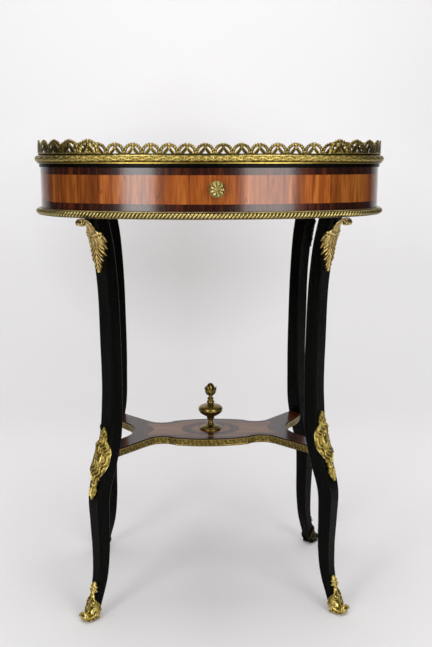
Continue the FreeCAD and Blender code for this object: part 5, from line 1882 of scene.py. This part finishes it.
URN = (
    Turned("urn_foot", "finial_foot", 0, (
        (2.3, 0), (18.9, 0), (19, 1.4), (18.2, 2.8), (16.4, 3.4), (15.6, 4.6), (11.5, 6.2),
        (7, 7.8), (5.6, 9.2), (6.6, 10.2), (5.0, 11.2), (4.2, 14.4), (4.5, 17.6), (6.4, 18.6),
        (6.6, 19.4), (2.3, 20)),
        lambda t, a: 1 + 0.018 * np.cos(24 * a) * bump_at(t, 0.3, 0.05)),
    Turned("urn_vase", "finial_vase", 20, (
        (2.3, 0), (6.2, 0.2), (6.6, 1.6), (9.6, 4), (15, 7.4), (19.6, 11.2), (21.5, 15),
        (21.4, 18.2), (20.4, 20.2), (18.4, 21.8), (15.2, 23.2), (10.4, 24.6), (6.0, 25.6),
        (5.0, 26.6), (6.6, 28.2), (7.0, 29.8), (6.4, 31.4), (4.6, 32.6), (4.4, 33.6),
        (6.0, 34.8), (2.3, 36)),
        lambda t, a: 1 + 0.022 * (np.abs(np.cos(10 * a)) - 0.6) * bump_at(t, 0.24, 0.13)),
    Turned("urn_bud", "finial_bud", 56, (
        (0.2, 0), (5.2, 0.2), (4.4, 1.8), (2.8, 4.2), (3.4, 6.2), (5.6, 9.4), (6.6, 13.2),
        (6.9, 17.4), (6.6, 21.2), (5.2, 24.8), (2.8, 27.4), (0.2, 28)),
        lambda t, a: 1 + 0.1 * np.cos(5 * a + 10 * t) * np.clip(t * 3 - 1.1, 0, 1)),
)


@dataclass
class Finial:
    """The urn on the undertier, with a cup of two rings of leaves round its bud."""

    level: float = 0.284
    steps: int = 9
    sides: int = 96
    leaf_count: int = 6
    leaf_turn: float = 0.26
    leaf_out: Curve = Curve((0, 0.3, 0.6, 0.85, 1), (3.2, 6.8, 9.0, 10.0, 11.6))
    leaf_up: Curve = Curve((0, 0.3, 0.6, 0.85, 1), (61, 64.6, 70, 75, 76.4))
    leaf_wide: Curve = Curve((0, 0.35, 0.7, 1), (3, 9.4, 7.4, 1.0))
    leaf_thick: float = 0.0013
    inner_gap: float = 0.4
    inner_size: float = 0.78

    def part(self, part: Turned) -> Surface:
        """Returns one turned part, stood at its base."""
        surface = lathe(rounded(part.profile, self.steps) * MM, self.sides, part.shape)
        return surface.moved(lambda p: p + np.array([0, 0, self.level + part.base * MM]))

    def leaf(self, number: float, inward: float, size: float) -> Surface:
        """Returns one pointed leaf of the cup, with its tip turned out.

        Args:
            number: Its place in the cup, in leaves.
            inward: How much nearer to the bud it stands, in millimetres.
            size: Its height as a share of the outer leaves'.

        Returns:
            The leaf.
        """
        t = np.linspace(0, 1, 12)
        base = self.leaf_up.values[0]
        up = base + (self.leaf_up.at(t) - base) * size
        path = np.stack([self.leaf_out.at(t) - inward, up], 1)
        blade = sweep(path * MM, self.leaf_thick, self.leaf_wide.at(t) * MM, Bar(16, 3, 0.4))
        turn = 2 * math.pi * number / self.leaf_count + self.leaf_turn
        c, s = math.cos(turn), math.sin(turn)
        return blade.moved(lambda p: np.stack(
            [p[:, 0] * c - p[:, 1] * s, p[:, 0] * s + p[:, 1] * c, p[:, 2] + self.level], 1))

    def build(self, palette: Palette) -> None:
        """Makes the three turned parts and the leaves round the bud.

        Args:
            palette: The finishes.
        """
        for part in URN:
            # The urn takes the darker brass: painted shade under the top.
            palette.cast("gilt_shaded_urn", self.part(part), part.name, [part.node], smooth=35.0)
        count = range(self.leaf_count)
        leaves = [self.leaf(number, 0.0, 1.0) for number in count]
        leaves += [self.leaf(number + 0.5, self.inner_gap, self.inner_size) for number in count]
        palette.cast("gilt_shaded_urn", Surface.joined(leaves), "urn_leaves", (), smooth=50.0)


@dataclass
class Drawer:
    """The drawer's chased knob; its box and veneers keep their solids."""

    knob_level: float = 0.71525
    face: float = -0.182
    knob_profile: tuple[tuple[float, float], ...] = (
        (0.2, 0), (8.4, 0), (8.2, 1.6), (5.4, 3.2), (4.4, 6), (5.6, 9), (10.6, 10.8), (12.6, 12.2),
        (13, 13.6), (12.2, 15.2), (11.2, 15.6), (10.6, 16.8), (7.2, 18.6), (3.2, 19.4), (0.2, 19.5))

    def build(self, palette: Palette) -> None:
        """Makes the knob.

        Args:
            palette: The finishes.
        """
        profile = rounded(self.knob_profile, 8) * MM

        def petals(t: Array, a: Array) -> Array:
            """Returns the factor on the radius that scallops the rim and the inner ring.

            The rim follows |cos(9 a)| and the ring cos(9 a), each under a bump over t.

            Args:
                t: Shares of the profile.
                a: Turns about the axis.

            Returns:
                The factor.
            """
            outer = 0.05 * (np.abs(np.cos(9 * a)) - 0.7) * bump_at(t, 0.62, 0.08)
            inner = 0.05 * np.cos(9 * a) * bump_at(t, 0.84, 0.08)
            return 1 + outer + inner

        def rise(t: Array, a: Array) -> Array:
            """Returns how far the nine petals and the heart stand out of the face.

            The petals follow |cos(4.5 a)| and the heart cos(6 a), each under a bump over t.

            Args:
                t: Shares of the profile.
                a: Turns about the axis.

            Returns:
                The rise in metres.
            """
            petal = np.abs(np.cos(4.5 * a)) * bump_at(t, 0.76, 0.06)
            heart = np.cos(6 * a) * bump_at(t, 0.91, 0.05) - bump_at(t, 0.86, 0.02)
            return 0.0011 * (petal - 1) * np.clip((t - 0.6) * 12, 0, 1) + 0.0007 * heart

        knob = lathe(profile, 112, petals, rise).moved(
            lambda p: np.stack([p[:, 0], self.face - p[:, 2], self.knob_level + p[:, 1]], 1))
        palette.cast("gilt_aged", knob, "chased_knob", ["drawer_knob"], "drawer")


# The studio


@dataclass(frozen=True)
class SoftBox:
    """One soft lamp.

    Attributes:
        name: The lamp's name.
        place: Its middle.
        size: Its width and height.
        power: Its power in watts.
        aim: The point that it faces.
        glossy: False where it isn't mirrored in a polish.
    """

    name: str
    place: Triple
    size: tuple[float, float]
    power: float
    aim: Triple
    glossy: bool = True

    def build(self) -> None:
        """Makes the lamp and turns it to its aim."""
        data = bpy.data.lights.new(self.name, "AREA")
        data.shape = "RECTANGLE"
        data.size, data.size_y = self.size
        data.energy = self.power
        thing = bpy.data.objects.new(self.name, data)
        bpy.context.scene.collection.objects.link(thing)
        away = np.array(self.aim) - np.array(self.place)
        thing.location = self.place
        flat = math.hypot(away[0], away[1])
        thing.rotation_euler = (math.atan2(flat, -away[2]), 0.0, math.atan2(-away[0], away[1]))
        thing.visible_glossy = self.glossy


@dataclass
class Studio:
    """A pale sweep of floor and wall, soft lamps and the camera."""

    camera_place: Triple = (-0.081, -1.554, 0.760)
    heading: float = 3.344
    pitch: float = 10.36
    lens: float = 50.0
    sensor: float = 36.0
    clip: tuple[float, float] = (0.05, 40.0)
    floor_level: float = -0.0012
    floor_front: float = -2.6
    bend_start: float = 1.15
    bend_radius: float = 1.0
    wall_top: float = 4.2
    half_width: float = 3.4
    air_colour: tuple[float, float, float, float] = (0.95, 0.96, 1.0, 1.0)
    air_strength: float = 0.06
    lamps: tuple[SoftBox, ...] = (
        SoftBox("left_box", (-1.40, -2.1, 1.15), (0.66, 1.8), 27.0, (0.0, 0.0, 0.9)),
        SoftBox("right_box", (1.18, -2.2, 1.15), (1.1, 1.8), 33.0, (0.0, 0.0, 0.9)),
        SoftBox("top_box", (0.0, 0.0, 2.7), (3.6, 2.8), 74.0, (0.0, 0.1, 0.0)),
        SoftBox("fill_box", (0.1, -2.6, 1.5), (1.6, 1.6), 10.0, (0.0, 0.0, 0.6), False))

    def backdrop(self) -> None:
        """Makes floor and wall in one: a flat, a quarter round and an upright, by arc length."""
        radius, back = self.bend_radius, self.bend_start
        flat = np.stack([np.linspace(self.floor_front, back, 30), np.zeros(30)], 1)
        turn = np.linspace(0, np.pi / 2, 24)[1:]
        bend = np.stack([back + radius * np.sin(turn), radius - radius * np.cos(turn)], 1)
        wall = np.stack([np.full(12, back + radius), np.linspace(radius, self.wall_top, 13)[1:]], 1)
        line = np.vstack([flat, bend, wall])
        points = np.zeros((len(line), 2, 3))
        points[..., 0] = np.array([[-self.half_width, self.half_width]])
        points[..., 1] = line[:, :1]
        points[..., 2] = line[:, 1:] + self.floor_level
        rows = np.arange(len(line) - 1)[:, None] * 2
        quads = np.concatenate([rows, rows + 1, rows + 3, rows + 2], axis=1)
        mesh = bpy.data.meshes.new("studio_sweep")
        mesh.from_pydata(points.reshape(-1, 3).tolist(), [], quads.tolist())
        mesh.shade_smooth()
        thing = bpy.data.objects.new("studio_sweep", mesh)
        bpy.context.scene.collection.objects.link(thing)
        thing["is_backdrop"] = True
        mesh.materials.append(Paper().build())

    def camera(self) -> None:
        """Makes the camera and looks through it."""
        data = bpy.data.cameras.new("view")
        data.lens, data.sensor_width = self.lens, self.sensor
        data.clip_start, data.clip_end = self.clip
        camera = bpy.data.objects.new("view", data)
        bpy.context.scene.collection.objects.link(camera)
        camera.location = self.camera_place
        camera.rotation_euler = (math.radians(90 - self.pitch), 0.0, math.radians(-self.heading))
        bpy.context.scene.camera = camera

    def build(self) -> None:
        """Makes the sweep, the world, the lamps and the camera."""
        self.backdrop()
        world = bpy.data.worlds.new("studio_air")
        world.use_nodes = True
        background = world.node_tree.nodes["Background"]
        background.inputs["Color"].default_value = self.air_colour
        background.inputs["Strength"].default_value = self.air_strength
        bpy.context.scene.world = world
        for lamp in self.lamps:
            lamp.build()
        self.camera()
        bpy.context.scene.view_settings.view_transform = "Standard"


def as_lists(bounds: Sequence[Sequence[float]]) -> list[list[float]]:
    """Returns a box's two corners as plain lists."""
    return [[float(number) for number in corner] for corner in bounds]


def main() -> None:
    """Builds the table's dress in order."""
    logging.basicConfig(level=logging.INFO, format="%(name)s: %(message)s")
    solid_box = as_lists(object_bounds())
    palette = Palette()
    for assembly in (Solids(), OvalMouldings(), Gallery(), Legs(), Undertier(), Finial(), Drawer()):
        assembly.build(palette)
        log.info("%s built", type(assembly).__name__)
    Studio().build()
    dressed_box = as_lists(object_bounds())
    for name, solid, dressed in zip(("low", "high"), solid_box, dressed_box):
        log.info("%s corner: solids %s, dressed %s", name, np.round(solid, 4), np.round(dressed, 4))


if __name__ == "__main__":
    main()
